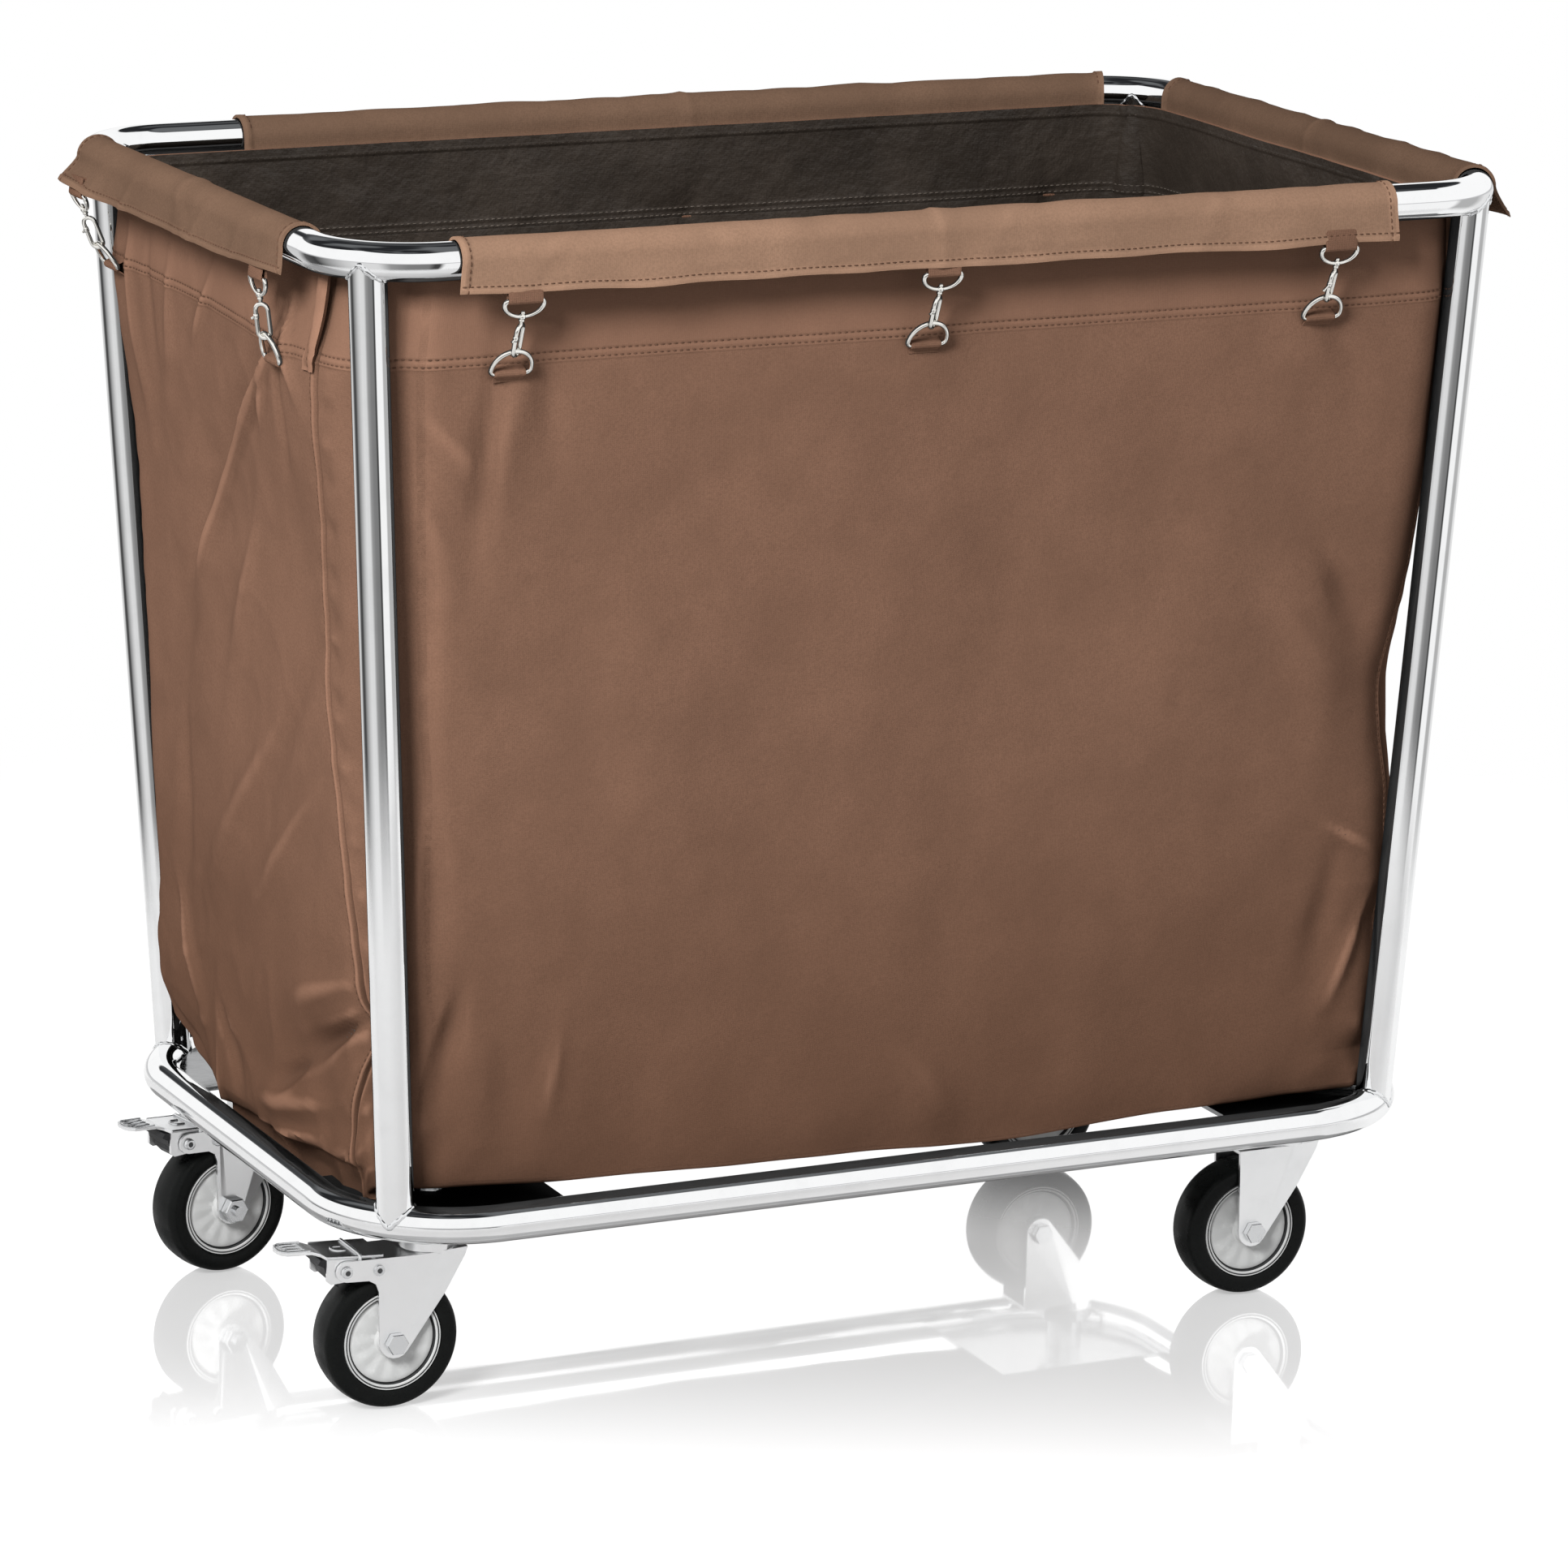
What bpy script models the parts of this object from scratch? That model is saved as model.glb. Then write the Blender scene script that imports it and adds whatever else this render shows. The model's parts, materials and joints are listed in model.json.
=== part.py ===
"""Linen trolley: a chromed tube frame on four swivel casters, holding a hung fabric bag.

Metres, +Z up. The origin is on the floor under the middle of the frame. X runs along the
long side, Y across it. The front is -Y, the left end is -X. The casters trail towards -X.
"""
import math

import bmesh
import bpy
from mathutils import Matrix, Vector

# Frame tubes
TUBE_R = 0.013
TUBE_BORE_R = 0.0115
TUBE_SIDES = 16
BEND_STEPS = 7
JOINT_GAP = 0.0003
COPE_GAP = 0.0008
RIM_HALF_X, RIM_HALF_Y, RIM_BEND_R, RIM_Z = 0.436, 0.272, 0.065, 0.820
BASE_HALF_X, BASE_HALF_Y, BASE_BEND_R, BASE_Z = 0.410, 0.248, 0.095, 0.148

# Corner plates, welded inside the base ring
PLATE_TOP, PLATE_T = 0.153, 0.003
PLATE_INNER_X, PLATE_INNER_Y = 0.2585, 0.117
PLATE_EDGE = TUBE_R + JOINT_GAP

# Linen bag: half sizes, corner radius and height of each level, outside
BAG_T = 0.003
BAG_LEVELS = (
    (0.3900, 0.2030, 0.045, 0.1570),
    (0.3950, 0.2080, 0.050, 0.1640),
    (0.4205, 0.2545, 0.060, 0.7450),
    (0.4190, 0.2550, 0.060, 0.8130),
)
BAG_CORNER_STEPS = 4

# Flaps folded over the rim, one per side
FLAP_T = 0.0016
FLAP_ARC_STEPS = 8
FLAP_R = (TUBE_R + 0.0004) / math.cos(math.pi / (2 * FLAP_ARC_STEPS))
FLAP_INNER_Z, FLAP_HEM_Z = 0.8060, 0.7975
FLAP_HEM_T, FLAP_HEM_H = 0.0028, 0.008

# Each side: turn about Z of its own frame, in which x runs along the side and y points inward;
# rim offset, flap centre and half length along x, and clip places from the flap centre
LONG_CLIPS = (-0.306, 0.0, 0.306)
RIGHT_CLIPS = (-0.165, 0.165)
LEFT_CLIPS = (-0.1855, 0.1555)
SIDES = {
    "front": (0.0, RIM_HALF_Y, -0.013, 0.350, LONG_CLIPS),
    "right": (90.0, RIM_HALF_X, -0.004, 0.222, RIGHT_CLIPS),
    "back": (180.0, RIM_HALF_Y, -0.040, 0.350, LONG_CLIPS),
    "left": (270.0, RIM_HALF_X, -0.0145, 0.2045, LEFT_CLIPS),
}

# Clips: a snap hook on each flap, hooked into a D-ring on the bag
WIRE_R = 0.0012
WIRE_SIDES = 6
EYE_BAR_OUT, EYE_BAR_Z = 0.0150, 0.7935
EYE_HALF_W, EYE_DEPTH = 0.0140, 0.0125
CHAIN_TILT = math.radians(22.3)
HOOK_TOP, HOOK_BOTTOM, HOOK_HALF_W = 0.0197, 0.0423, 0.0039
HOOK_TWIST = math.radians(50.0)
BOSS_R = 0.0026
RING_REACH = 0.0395
RING_HALF_W, RING_HEIGHT = 0.0143, 0.0196
RING_TILT = math.radians(32.5)
# Clips that hang differently: distance further out, distance higher, and outward lean of the chain
CLIP_SHIFTS = {("left", 1): (0.0070, 0.0040, 0.0), ("left", 2): (0.0, 0.0, math.radians(15.0))}

# Casters
SWIVEL_X, SWIVEL_Y = 0.3369, 0.1683
TRAIL = 0.0324
WHEEL_R, WHEEL_FACETS = 0.050, 32
TYRE_HALF_W, TYRE_SEAT_R = 0.0159, 0.0361
HUB_SIDES = 24
FORK_OUT, FORK_IN = 0.0200, 0.0175
WEB_TOP, WEB_BOTTOM = 0.1120, 0.1095
FOOT_R = 0.0115
KINGPIN_R, KINGPIN_HOLE_R = 0.0050, 0.0056
RACE_R, RACE_TOP = 0.0205, 0.1180
CUP_R, CUP_BOTTOM, CUP_TOP = 0.0215, 0.1185, 0.1275
AXLE_R, AXLE_HOLE_R = 0.0040, 0.0045
BOLT_FLATS, NUT_FLATS = 0.0140, 0.0170
PIVOT_X, PIVOT_Z = -0.0686, 0.1053
PIVOT_R, PIVOT_HOLE_R = 0.0025, 0.0030
RIVET_X, RIVET_Z = -0.0447, 0.1041

# Place of each caster: sides in X and Y, steering angle at rest, braked
CASTERS = {
    "front_left": (-1, -1, 0.0, True),
    "front_right": (1, -1, 0.0, False),
    "back_left": (-1, 1, 10.0, True),
    "back_right": (1, 1, 0.0, False),
}

CHROME = ((0.80, 0.81, 0.82), 0.08, 1.0)
ZINC = ((0.72, 0.73, 0.74), 0.32, 1.0)
NICKEL = ((0.78, 0.76, 0.71), 0.20, 1.0)
BROWN = ((0.155, 0.085, 0.060), 0.85, 0.0)
RUBBER = ((0.020, 0.020, 0.021), 0.55, 0.0)
GREY_PLASTIC = ((0.42, 0.43, 0.43), 0.45, 0.0)
BLACK_PLASTIC = ((0.030, 0.030, 0.032), 0.40, 0.0)


def clear_scene():
    """Remove whatever the file opened with."""
    for item in list(bpy.data.objects):
        bpy.data.objects.remove(item, do_unlink=True)


def material(name, look):
    """A Principled material from (colour, roughness, metallic)."""
    colour, roughness, metallic = look
    made = bpy.data.materials.new(name)
    made.use_nodes = True
    shader = made.node_tree.nodes["Principled BSDF"]
    shader.inputs["Base Color"].default_value = (*colour, 1.0)
    shader.inputs["Roughness"].default_value = roughness
    shader.inputs["Metallic"].default_value = metallic
    return made


def to_mesh(name, bm, smooth_angle=None):
    """Turn a bmesh into mesh data with outward faces; round pieces are shaded smooth."""
    bmesh.ops.recalc_face_normals(bm, faces=bm.faces)
    mesh = bpy.data.meshes.new(name)
    bm.to_mesh(mesh)
    bm.free()
    if smooth_angle is not None:
        mesh.shade_smooth()
        mesh.set_sharp_from_angle(angle=math.radians(smooth_angle))
    return mesh


def place(name, mesh, look, location=(0.0, 0.0, 0.0), turn=0.0, parent=None):
    """Put mesh data in the scene as a named object with its own material."""
    item = bpy.data.objects.new(name, mesh)
    item.location = location
    item.rotation_euler = (0.0, 0.0, math.radians(turn))
    item.parent = parent
    bpy.context.scene.collection.objects.link(item)
    if not mesh.materials:
        mesh.materials.append(None)
    item.material_slots[0].link = "OBJECT"
    item.material_slots[0].material = material(name, look)
    return item


def joint_empty(name, location, turn=0.0, parent=None):
    """An empty that stands on a joint axis."""
    item = bpy.data.objects.new(name, None)
    item.location = location
    item.rotation_euler = (0.0, 0.0, math.radians(turn))
    item.empty_display_size = 0.02
    item.parent = parent
    bpy.context.scene.collection.objects.link(item)
    return item


def joined(base, *steps):
    """Combine bmeshes with exact booleans: each step is (operation, bmesh)."""
    scratch = []
    for bm in (base, *(step[1] for step in steps)):
        item = bpy.data.objects.new("scratch", to_mesh("scratch", bm))
        bpy.context.scene.collection.objects.link(item)
        scratch.append(item)
    for (operation, _), tool in zip(steps, scratch[1:]):
        cut = scratch[0].modifiers.new("combine", "BOOLEAN")
        cut.operation, cut.object, cut.solver = operation, tool, "EXACT"
    depsgraph = bpy.context.evaluated_depsgraph_get()
    result = bmesh.new()
    result.from_mesh(scratch[0].evaluated_get(depsgraph).to_mesh())
    for item in scratch:
        bpy.data.objects.remove(item, do_unlink=True)
    bmesh.ops.remove_doubles(result, verts=result.verts, dist=1e-6)
    return result


def arc(centre_a, centre_b, radius, start, end, steps):
    """Points on an arc in a plane, from start to end in degrees."""
    points = []
    for step in range(steps + 1):
        angle = math.radians(start + (end - start) * step / steps)
        points.append((centre_a + radius * math.cos(angle), centre_b + radius * math.sin(angle)))
    return points


def rounded_rectangle(half_x, half_y, radius, steps):
    """Corner points of a rounded rectangle, anticlockwise from the +X side."""
    points = []
    for sign_x, sign_y, start in ((1, 1, 0), (-1, 1, 90), (-1, -1, 180), (1, -1, 270)):
        centre = sign_x * (half_x - radius), sign_y * (half_y - radius)
        points += arc(*centre, radius, start, start + 90, steps)
    return points


def skin(bm, rings, closed=False):
    """Faces between successive rings of vertices."""
    pairs = list(zip(rings, rings[1:]))
    if closed:
        pairs.append((rings[-1], rings[0]))
    for one, two in pairs:
        count = len(one)
        for i in range(count):
            j = (i + 1) % count
            bm.faces.new((one[i], one[j], two[j], two[i]))


def sweep_rings(bm, path, normal, radius, sides, closed):
    """A circle of vertices at each point of a path that lies in one plane."""
    rings, count = [], len(path)
    for i, point in enumerate(path):
        before = path[i - 1] if closed or i else path[0]
        after = path[(i + 1) % count] if closed or i < count - 1 else path[-1]
        side = normal.cross((after - before).normalized())
        ring = []
        for k in range(sides):
            angle = 2.0 * math.pi * (k + 0.5) / sides
            ring.append(bm.verts.new(point + radius * (math.cos(angle) * side + math.sin(angle) * normal)))
        rings.append(ring)
    return rings


def wire(path, normal, radius, sides, closed):
    """A solid wire bent along a flat path."""
    bm = bmesh.new()
    rings = sweep_rings(bm, path, normal, radius, sides, closed)
    skin(bm, rings, closed)
    if not closed:
        bm.faces.new(rings[0])
        bm.faces.new(rings[-1])
    return bm


def prism(outline, low, high):
    """An outline in X and Z, extruded along Y."""
    bm = bmesh.new()
    rings = [[bm.verts.new((x, y, z)) for x, z in outline] for y in (low, high)]
    skin(bm, rings)
    bm.faces.new(rings[0])
    bm.faces.new(rings[1])
    return bm


def box(low, high):
    """A plain block between two corners."""
    return prism([(low[0], low[2]), (high[0], low[2]), (high[0], high[2]), (low[0], high[2])], low[1], high[1])


def revolved(profile, sides, phase=0.0):
    """A solid of revolution about Z from (radius, height) points.

    A profile that starts and ends on the axis closes there; any other closes on itself.
    """
    bm = bmesh.new()
    on_axis = profile[0][0] == 0.0
    rings = []
    for radius, height in profile:
        if radius == 0.0:
            rings.append([bm.verts.new((0.0, 0.0, height))])
            continue
        angles = [2.0 * math.pi * (k + phase) / sides for k in range(sides)]
        rings.append([bm.verts.new((radius * math.cos(a), radius * math.sin(a), height)) for a in angles])
    if on_axis:
        skin(bm, rings[1:-1])
        for tip, ring in ((rings[0][0], rings[1]), (rings[-1][0], rings[-2])):
            for k in range(sides):
                bm.faces.new((tip, ring[k], ring[(k + 1) % sides]))
    else:
        skin(bm, rings, closed=True)
    return bm


def laid_on_y(bm, centre_x=0.0, centre_z=0.0):
    """Turn a body of revolution from the Z axis onto an axle along Y."""
    bmesh.ops.transform(bm, matrix=Matrix.Rotation(math.radians(-90), 4, "X"), verts=bm.verts)
    bmesh.ops.translate(bm, vec=(centre_x, 0.0, centre_z), verts=bm.verts)
    return bm


def ring_tube(half_x, half_y, bend_r, height):
    """A tube bent into a rounded rectangle and closed by a butt seam at the middle of the back."""
    corners = rounded_rectangle(half_x, half_y, bend_r, BEND_STEPS)
    first_back = BEND_STEPS + 1
    around = corners[first_back:] + corners[:first_back]
    seam = JOINT_GAP / 2.0
    flat = [(-seam, half_y)] + around + [(seam, half_y)]
    path = [Vector((x, y, height)) for x, y in flat]
    bm = bmesh.new()
    up = Vector((0.0, 0.0, 1.0))
    outer = sweep_rings(bm, path, up, TUBE_R, TUBE_SIDES, False)
    inner = sweep_rings(bm, path, up, TUBE_BORE_R, TUBE_SIDES, False)
    skin(bm, outer)
    skin(bm, inner)
    skin(bm, [outer[0], inner[0]])
    skin(bm, [outer[-1], inner[-1]])
    return to_mesh("ring_tube", bm, 40)


def distance_to_ring(point, half_x, half_y, bend_r, height):
    """Distance from a point near a corner to the centre line of a bent ring."""
    across = math.hypot(abs(point.x) - (half_x - bend_r), abs(point.y) - (half_y - bend_r))
    return math.hypot(across - bend_r, point.z - height)


def coped_end(start, direction, ring):
    """The point on a line where it comes within the cope's gap of a ring's surface."""
    near, far = 0.0, 4.0 * TUBE_R
    for _ in range(40):
        middle = (near + far) / 2.0
        if distance_to_ring(start + direction * middle, *ring) < TUBE_R + COPE_GAP:
            near = middle
        else:
            far = middle
    return start + direction * far


def post(sign_x, sign_y):
    """A straight corner post, its ends coped to fit the rim and the base ring."""
    rim = (RIM_HALF_X, RIM_HALF_Y, RIM_BEND_R, RIM_Z)
    base = (BASE_HALF_X, BASE_HALF_Y, BASE_BEND_R, BASE_Z)

    def bend_middle(half_x, half_y, bend_r, height):
        inset = bend_r * (1.0 - math.cos(math.pi / 4.0))
        return Vector((sign_x * (half_x - inset), sign_y * (half_y - inset), height))

    top, bottom = bend_middle(*rim), bend_middle(*base)
    up = (top - bottom).normalized()
    side = up.cross(Vector((0.0, 1.0, 0.0))).normalized()
    other = up.cross(side)
    bm = bmesh.new()
    walls = []
    for radius in (TUBE_R, TUBE_BORE_R):
        ends = ([], [])
        for k in range(TUBE_SIDES):
            angle = 2.0 * math.pi * k / TUBE_SIDES
            offset = radius * (math.cos(angle) * side + math.sin(angle) * other)
            ends[0].append(bm.verts.new(coped_end(bottom + offset, up, base)))
            ends[1].append(bm.verts.new(coped_end(top + offset, -up, rim)))
        skin(bm, ends)
        walls.append(ends)
    for end in (0, 1):
        skin(bm, [walls[0][end], walls[1][end]])
    return to_mesh("post", bm, 40)


def corner_plate(sign_x, sign_y):
    """A flat gusset in a corner of the base ring, drilled for the caster stud."""
    bend = BASE_BEND_R - PLATE_EDGE
    centre = BASE_HALF_X - BASE_BEND_R, BASE_HALF_Y - BASE_BEND_R
    outline = [(PLATE_INNER_X, PLATE_INNER_Y), (BASE_HALF_X - PLATE_EDGE, PLATE_INNER_Y)]
    outline += arc(*centre, bend, 0, 90, 5) + [(PLATE_INNER_X, BASE_HALF_Y - PLATE_EDGE)]
    bm = bmesh.new()
    rings = []
    for height in (PLATE_TOP - PLATE_T, PLATE_TOP):
        rings.append([bm.verts.new((sign_x * x, sign_y * y, height)) for x, y in outline])
    skin(bm, rings)
    bm.faces.new(rings[0])
    bm.faces.new(rings[1])
    hole = [(0.0, PLATE_TOP + 0.01), (0.0063, PLATE_TOP + 0.01)]
    hole += [(0.0063, PLATE_TOP - 0.01), (0.0, PLATE_TOP - 0.01)]
    drill = revolved(hole, 12)
    bmesh.ops.translate(drill, vec=(sign_x * SWIVEL_X, sign_y * SWIVEL_Y, 0.0), verts=drill.verts)
    return to_mesh("corner_plate", joined(bm, ("DIFFERENCE", drill)))


def bag():
    """The hung bag: tapered walls and a floor, open at the top."""
    bm = bmesh.new()

    def ring(half_x, half_y, radius, height):
        points = rounded_rectangle(half_x, half_y, radius, BAG_CORNER_STEPS)
        return [bm.verts.new((x, y, height)) for x, y in points]

    outside = [ring(*level) for level in BAG_LEVELS]
    inside = []
    for number, (half_x, half_y, radius, height) in enumerate(BAG_LEVELS):
        lift = 0.0 if number == len(BAG_LEVELS) - 1 else BAG_T
        inside.append(ring(half_x - BAG_T, half_y - BAG_T, radius - BAG_T, height + lift))
    skin(bm, outside)
    skin(bm, inside)
    skin(bm, [outside[-1], inside[-1]])
    bm.faces.new(outside[0])
    bm.faces.new(inside[0])
    return to_mesh("linen_bag", bm, 40)


def rim_line(offset, centre, half_length):
    """Places and outward directions along one side of the rim, in the side's own frame.

    The line is straight where the rim is and follows the bends past that.
    """
    half_across = RIM_HALF_X if offset == RIM_HALF_Y else RIM_HALF_Y
    straight = half_across - RIM_BEND_R
    stations = []
    for place_x in (centre - half_length, -straight, straight, centre + half_length):
        beyond = abs(place_x) - straight
        if beyond <= 0.0:
            stations.append((place_x, (place_x, -offset), (0.0, -1.0)))
            continue
        if abs(place_x) == straight:
            continue
        for share in (0.5, 1.0):
            angle = share * beyond / RIM_BEND_R
            sign = math.copysign(1.0, place_x)
            out = (sign * math.sin(angle), -math.cos(angle))
            point = (sign * straight + RIM_BEND_R * out[0], -(offset - RIM_BEND_R) + RIM_BEND_R * out[1])
            stations.append((sign * (straight + share * beyond), point, out))
    low, high = centre - half_length - 1e-9, centre + half_length + 1e-9
    unique = {round(key, 6): (point, out) for key, point, out in stations if low <= key <= high}
    return [unique[key] for key in sorted(unique)]


def flap(offset, centre, half_length):
    """A flap that rises inside the rim, folds over it and hangs outside to a thicker hem."""
    outer_r = FLAP_R + FLAP_T
    under = [(-FLAP_R, FLAP_INNER_Z)]
    under += [(-a, RIM_Z + b) for a, b in arc(0.0, 0.0, FLAP_R, 0, 180, FLAP_ARC_STEPS)]
    under += [(FLAP_R, FLAP_HEM_Z)]
    over = [(FLAP_R + FLAP_HEM_T, FLAP_HEM_Z), (FLAP_R + FLAP_HEM_T, FLAP_HEM_Z + FLAP_HEM_H)]
    over += [(outer_r, FLAP_HEM_Z + FLAP_HEM_H + 0.001)]
    over += [(a, RIM_Z + b) for a, b in arc(0.0, 0.0, outer_r, 0, 180, FLAP_ARC_STEPS)]
    over += [(-outer_r, FLAP_INNER_Z)]
    bm = bmesh.new()
    rings = []
    for (x, y), (out_x, out_y) in rim_line(offset, centre, half_length):
        rings.append([bm.verts.new((x + out_x * n, y + out_y * n, z)) for n, z in under + over])
    skin(bm, rings)
    bm.faces.new(rings[0])
    bm.faces.new(rings[-1])
    return to_mesh("flap", bm, 40)


def d_path(half_w, depth, across, along, steps):
    """A closed D: a straight bar through the origin and a bow that reaches along a direction."""
    corner = 0.003
    points = [Vector(), across * (half_w - corner)]
    points.append(across * half_w + along * corner)
    rise = depth - corner
    for step in range(1, steps):
        angle = math.pi * step / steps
        points.append(across * half_w * math.cos(angle) + along * (corner + rise * math.sin(angle)))
    points.append(-across * half_w + along * corner)
    points.append(-across * (half_w - corner))
    return points


def snap_hook():
    """A swivel eye, its boss and stem, and the long hook loop with its gate side.

    The origin is on the eye's bar, which hangs in a loop of webbing on the flap hem.
    """
    across = Vector((1.0, 0.0, 0.0))
    down = Vector((0.0, math.sin(CHAIN_TILT), -math.cos(CHAIN_TILT)))
    normal = across.cross(down)
    eye = wire(d_path(EYE_HALF_W, EYE_DEPTH, across, down, 8), normal, WIRE_R, WIRE_SIDES, True)
    stem = wire([down * EYE_DEPTH, down * (HOOK_TOP + 0.0005)], across, BOSS_R * 0.6, WIRE_SIDES, False)
    boss = revolved([(0, -BOSS_R), (BOSS_R, -BOSS_R * 0.6), (BOSS_R, BOSS_R * 0.6), (0, BOSS_R)], 8)
    turn = Vector((0.0, 0.0, 1.0)).rotation_difference(down).to_matrix().to_4x4()
    bmesh.ops.transform(boss, matrix=Matrix.Translation(down * EYE_DEPTH) @ turn, verts=boss.verts)
    wide = across * math.cos(HOOK_TWIST) + normal * math.sin(HOOK_TWIST)
    loop = []
    for centre, start in ((HOOK_BOTTOM - HOOK_HALF_W, 0), (HOOK_TOP + HOOK_HALF_W, 180)):
        for a, b in arc(0.0, centre, HOOK_HALF_W, start, start + 180, 4):
            loop.append(wide * a + down * b)
    hook = wire(loop, wide.cross(down), WIRE_R, WIRE_SIDES, True)
    return to_mesh("snap_hook", joined(eye, ("UNION", boss), ("UNION", stem), ("UNION", hook)), 50)


def d_ring():
    """The D-ring, its origin on the bar that lies in a loop of webbing on the bag."""
    across = Vector((1.0, 0.0, 0.0))
    up = Vector((0.0, -math.sin(RING_TILT), math.cos(RING_TILT)))
    path = d_path(RING_HALF_W, RING_HEIGHT, across, up, 10)
    return to_mesh("d_ring", wire(path, across.cross(up), WIRE_R, WIRE_SIDES, True), 50)


def clips(side, turn, offset, centre, places):
    """The snap hooks and D-rings of one side."""
    hook_mesh, ring_mesh = bpy.data.meshes["snap_hook"], bpy.data.meshes["d_ring"]
    spin = Matrix.Rotation(math.radians(turn), 3, "Z")
    engaged = Vector((0.0, math.sin(CHAIN_TILT), -math.cos(CHAIN_TILT))) * RING_REACH
    lean = Vector((0.0, math.sin(RING_TILT), -math.cos(RING_TILT))) * RING_HEIGHT
    for number, along in enumerate(places, 1):
        further, higher, outward = CLIP_SHIFTS.get((side, number), (0.0, 0.0, 0.0))
        bar = Vector((centre + along, -offset - EYE_BAR_OUT - further, EYE_BAR_Z + higher))
        ring_bar = bar + Matrix.Rotation(-outward, 3, "X") @ (engaged + lean)
        hook = place(f"snap_hook_{side}_{number}", hook_mesh, NICKEL, spin @ bar, turn)
        ring = place(f"d_ring_{side}_{number}", ring_mesh, NICKEL, spin @ ring_bar, turn)
        hook.rotation_euler.x = ring.rotation_euler.x = -outward


def fork(braked):
    """The pressed fork: two legs, the web over the wheel and the lower race of the swivel.

    A braked fork has an ear on each leg that carries the pedal's pivot.
    """
    outline = [(-0.0230, WEB_TOP), (0.0236, WEB_TOP), (0.0215, 0.1060), (0.0050, 0.0790)]
    outline += arc(-TRAIL, 0.050, FOOT_R, -38, -180, 7)
    if braked:
        outline += [(-0.0448, 0.0880), (-0.0470, 0.0940), (-0.0520, 0.0970)]
        outline += arc(PIVOT_X, PIVOT_Z, 0.0075, -90, -270, 6)
    else:
        outline += [(-0.0445, WEB_TOP)]
    steps = [("DIFFERENCE", box((-0.12, -FORK_IN, 0.0), (0.12, FORK_IN, WEB_BOTTOM)))]
    if braked:
        steps.append(("DIFFERENCE", box((-0.12, -FORK_IN, 0.0), (-0.0460, FORK_IN, 0.2))))
        for x, z, radius in ((PIVOT_X, PIVOT_Z, PIVOT_HOLE_R),):
            drill = revolved([(0, -0.03), (radius, -0.03), (radius, 0.03), (0, 0.03)], 12)
            steps.append(("DIFFERENCE", laid_on_y(drill, x, z)))
        for side in (-1, 1):
            near, far = sorted((side * (FORK_OUT - 0.001), side * (FORK_OUT + 0.0013)))
            rivet = revolved([(0, near), (0.0038, near), (0.0038, far), (0, far)], 12)
            steps.append(("UNION", laid_on_y(rivet, RIVET_X, RIVET_Z)))
    low = WEB_TOP - 0.001
    steps.append(("UNION", revolved([(0, low), (RACE_R, low), (RACE_R, RACE_TOP), (0, RACE_TOP)], 20)))
    through = [(0, 0.09), (KINGPIN_HOLE_R, 0.09), (KINGPIN_HOLE_R, 0.13), (0, 0.13)]
    steps.append(("DIFFERENCE", revolved(through, 12)))
    axle = revolved([(0, -0.03), (AXLE_HOLE_R, -0.03), (AXLE_HOLE_R, 0.03), (0, 0.03)], 12)
    steps.append(("DIFFERENCE", laid_on_y(axle, -TRAIL, 0.050)))
    return to_mesh("fork", joined(prism(outline, -FORK_OUT, FORK_OUT), *steps), 35)


def caster_mount():
    """The fixed half of the swivel: stud head, stud, shoulder, upper race and kingpin."""
    plate_low = PLATE_TOP - PLATE_T - JOINT_GAP
    profile = [(0.0, PLATE_TOP + 0.0033), (0.0095, PLATE_TOP + 0.0031), (0.0105, PLATE_TOP + JOINT_GAP)]
    profile += [(0.0060, PLATE_TOP + JOINT_GAP), (0.0060, plate_low), (0.0140, plate_low)]
    profile += [(0.0140, CUP_TOP), (CUP_R - 0.002, CUP_TOP), (CUP_R, CUP_TOP - 0.002), (CUP_R, CUP_BOTTOM)]
    head_top = WEB_BOTTOM - 0.0005
    profile += [(KINGPIN_R, CUP_BOTTOM), (KINGPIN_R, head_top), (0.0085, head_top)]
    profile += [(0.0075, head_top - 0.0025), (0.0, head_top - 0.003)]
    return to_mesh("caster_mount", revolved(profile, 20), 35)


def hexagon(flats, angle):
    """Radius of a hexagon with the given width over its flats, at an angle from a corner."""
    return flats / 2.0 / math.cos((angle % (math.pi / 3.0)) - math.pi / 6.0)


def axle_bolt(flipped):
    """The wheel's bolt, from its hex head through the fork and hub to its nut and thread end."""
    face = FORK_OUT + JOINT_GAP
    sections = [(-face - 0.0055, BOLT_FLATS * 0.94), (-face - 0.0048, BOLT_FLATS), (-face, BOLT_FLATS)]
    sections += [(-face, None), (face, None)]
    sections += [(face, NUT_FLATS), (face + 0.0062, NUT_FLATS), (face + 0.0070, NUT_FLATS * 0.92)]
    sections += [(face + 0.0070, None), (face + 0.0105, None)]
    bm = bmesh.new()
    rings = []
    for y, flats in sections:
        ring = []
        for k in range(12):
            angle = 2.0 * math.pi * k / 12
            radius = hexagon(flats, angle) if flats else AXLE_R
            ring.append(bm.verts.new((radius * math.cos(angle), y, radius * math.sin(angle))))
        rings.append(ring)
    skin(bm, rings)
    bm.faces.new(rings[0])
    bm.faces.new(rings[-1])
    if flipped:
        bmesh.ops.transform(bm, matrix=Matrix.Rotation(math.pi, 4, "Z"), verts=bm.verts)
    return to_mesh("axle_bolt", bm)


def hub():
    """The wheel's core: bored boss, recessed disc and stepped rim."""
    half = [(0.0048, 0.0168), (0.0105, 0.0168), (0.0120, 0.0124), (0.0308, 0.0124)]
    half += [(0.0318, 0.0116), (0.0324, 0.0148), (TYRE_SEAT_R - JOINT_GAP, 0.0148)]
    profile = half + [(radius, -height) for radius, height in reversed(half)]
    return to_mesh("hub", laid_on_y(revolved(profile, HUB_SIDES)), 30)


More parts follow.
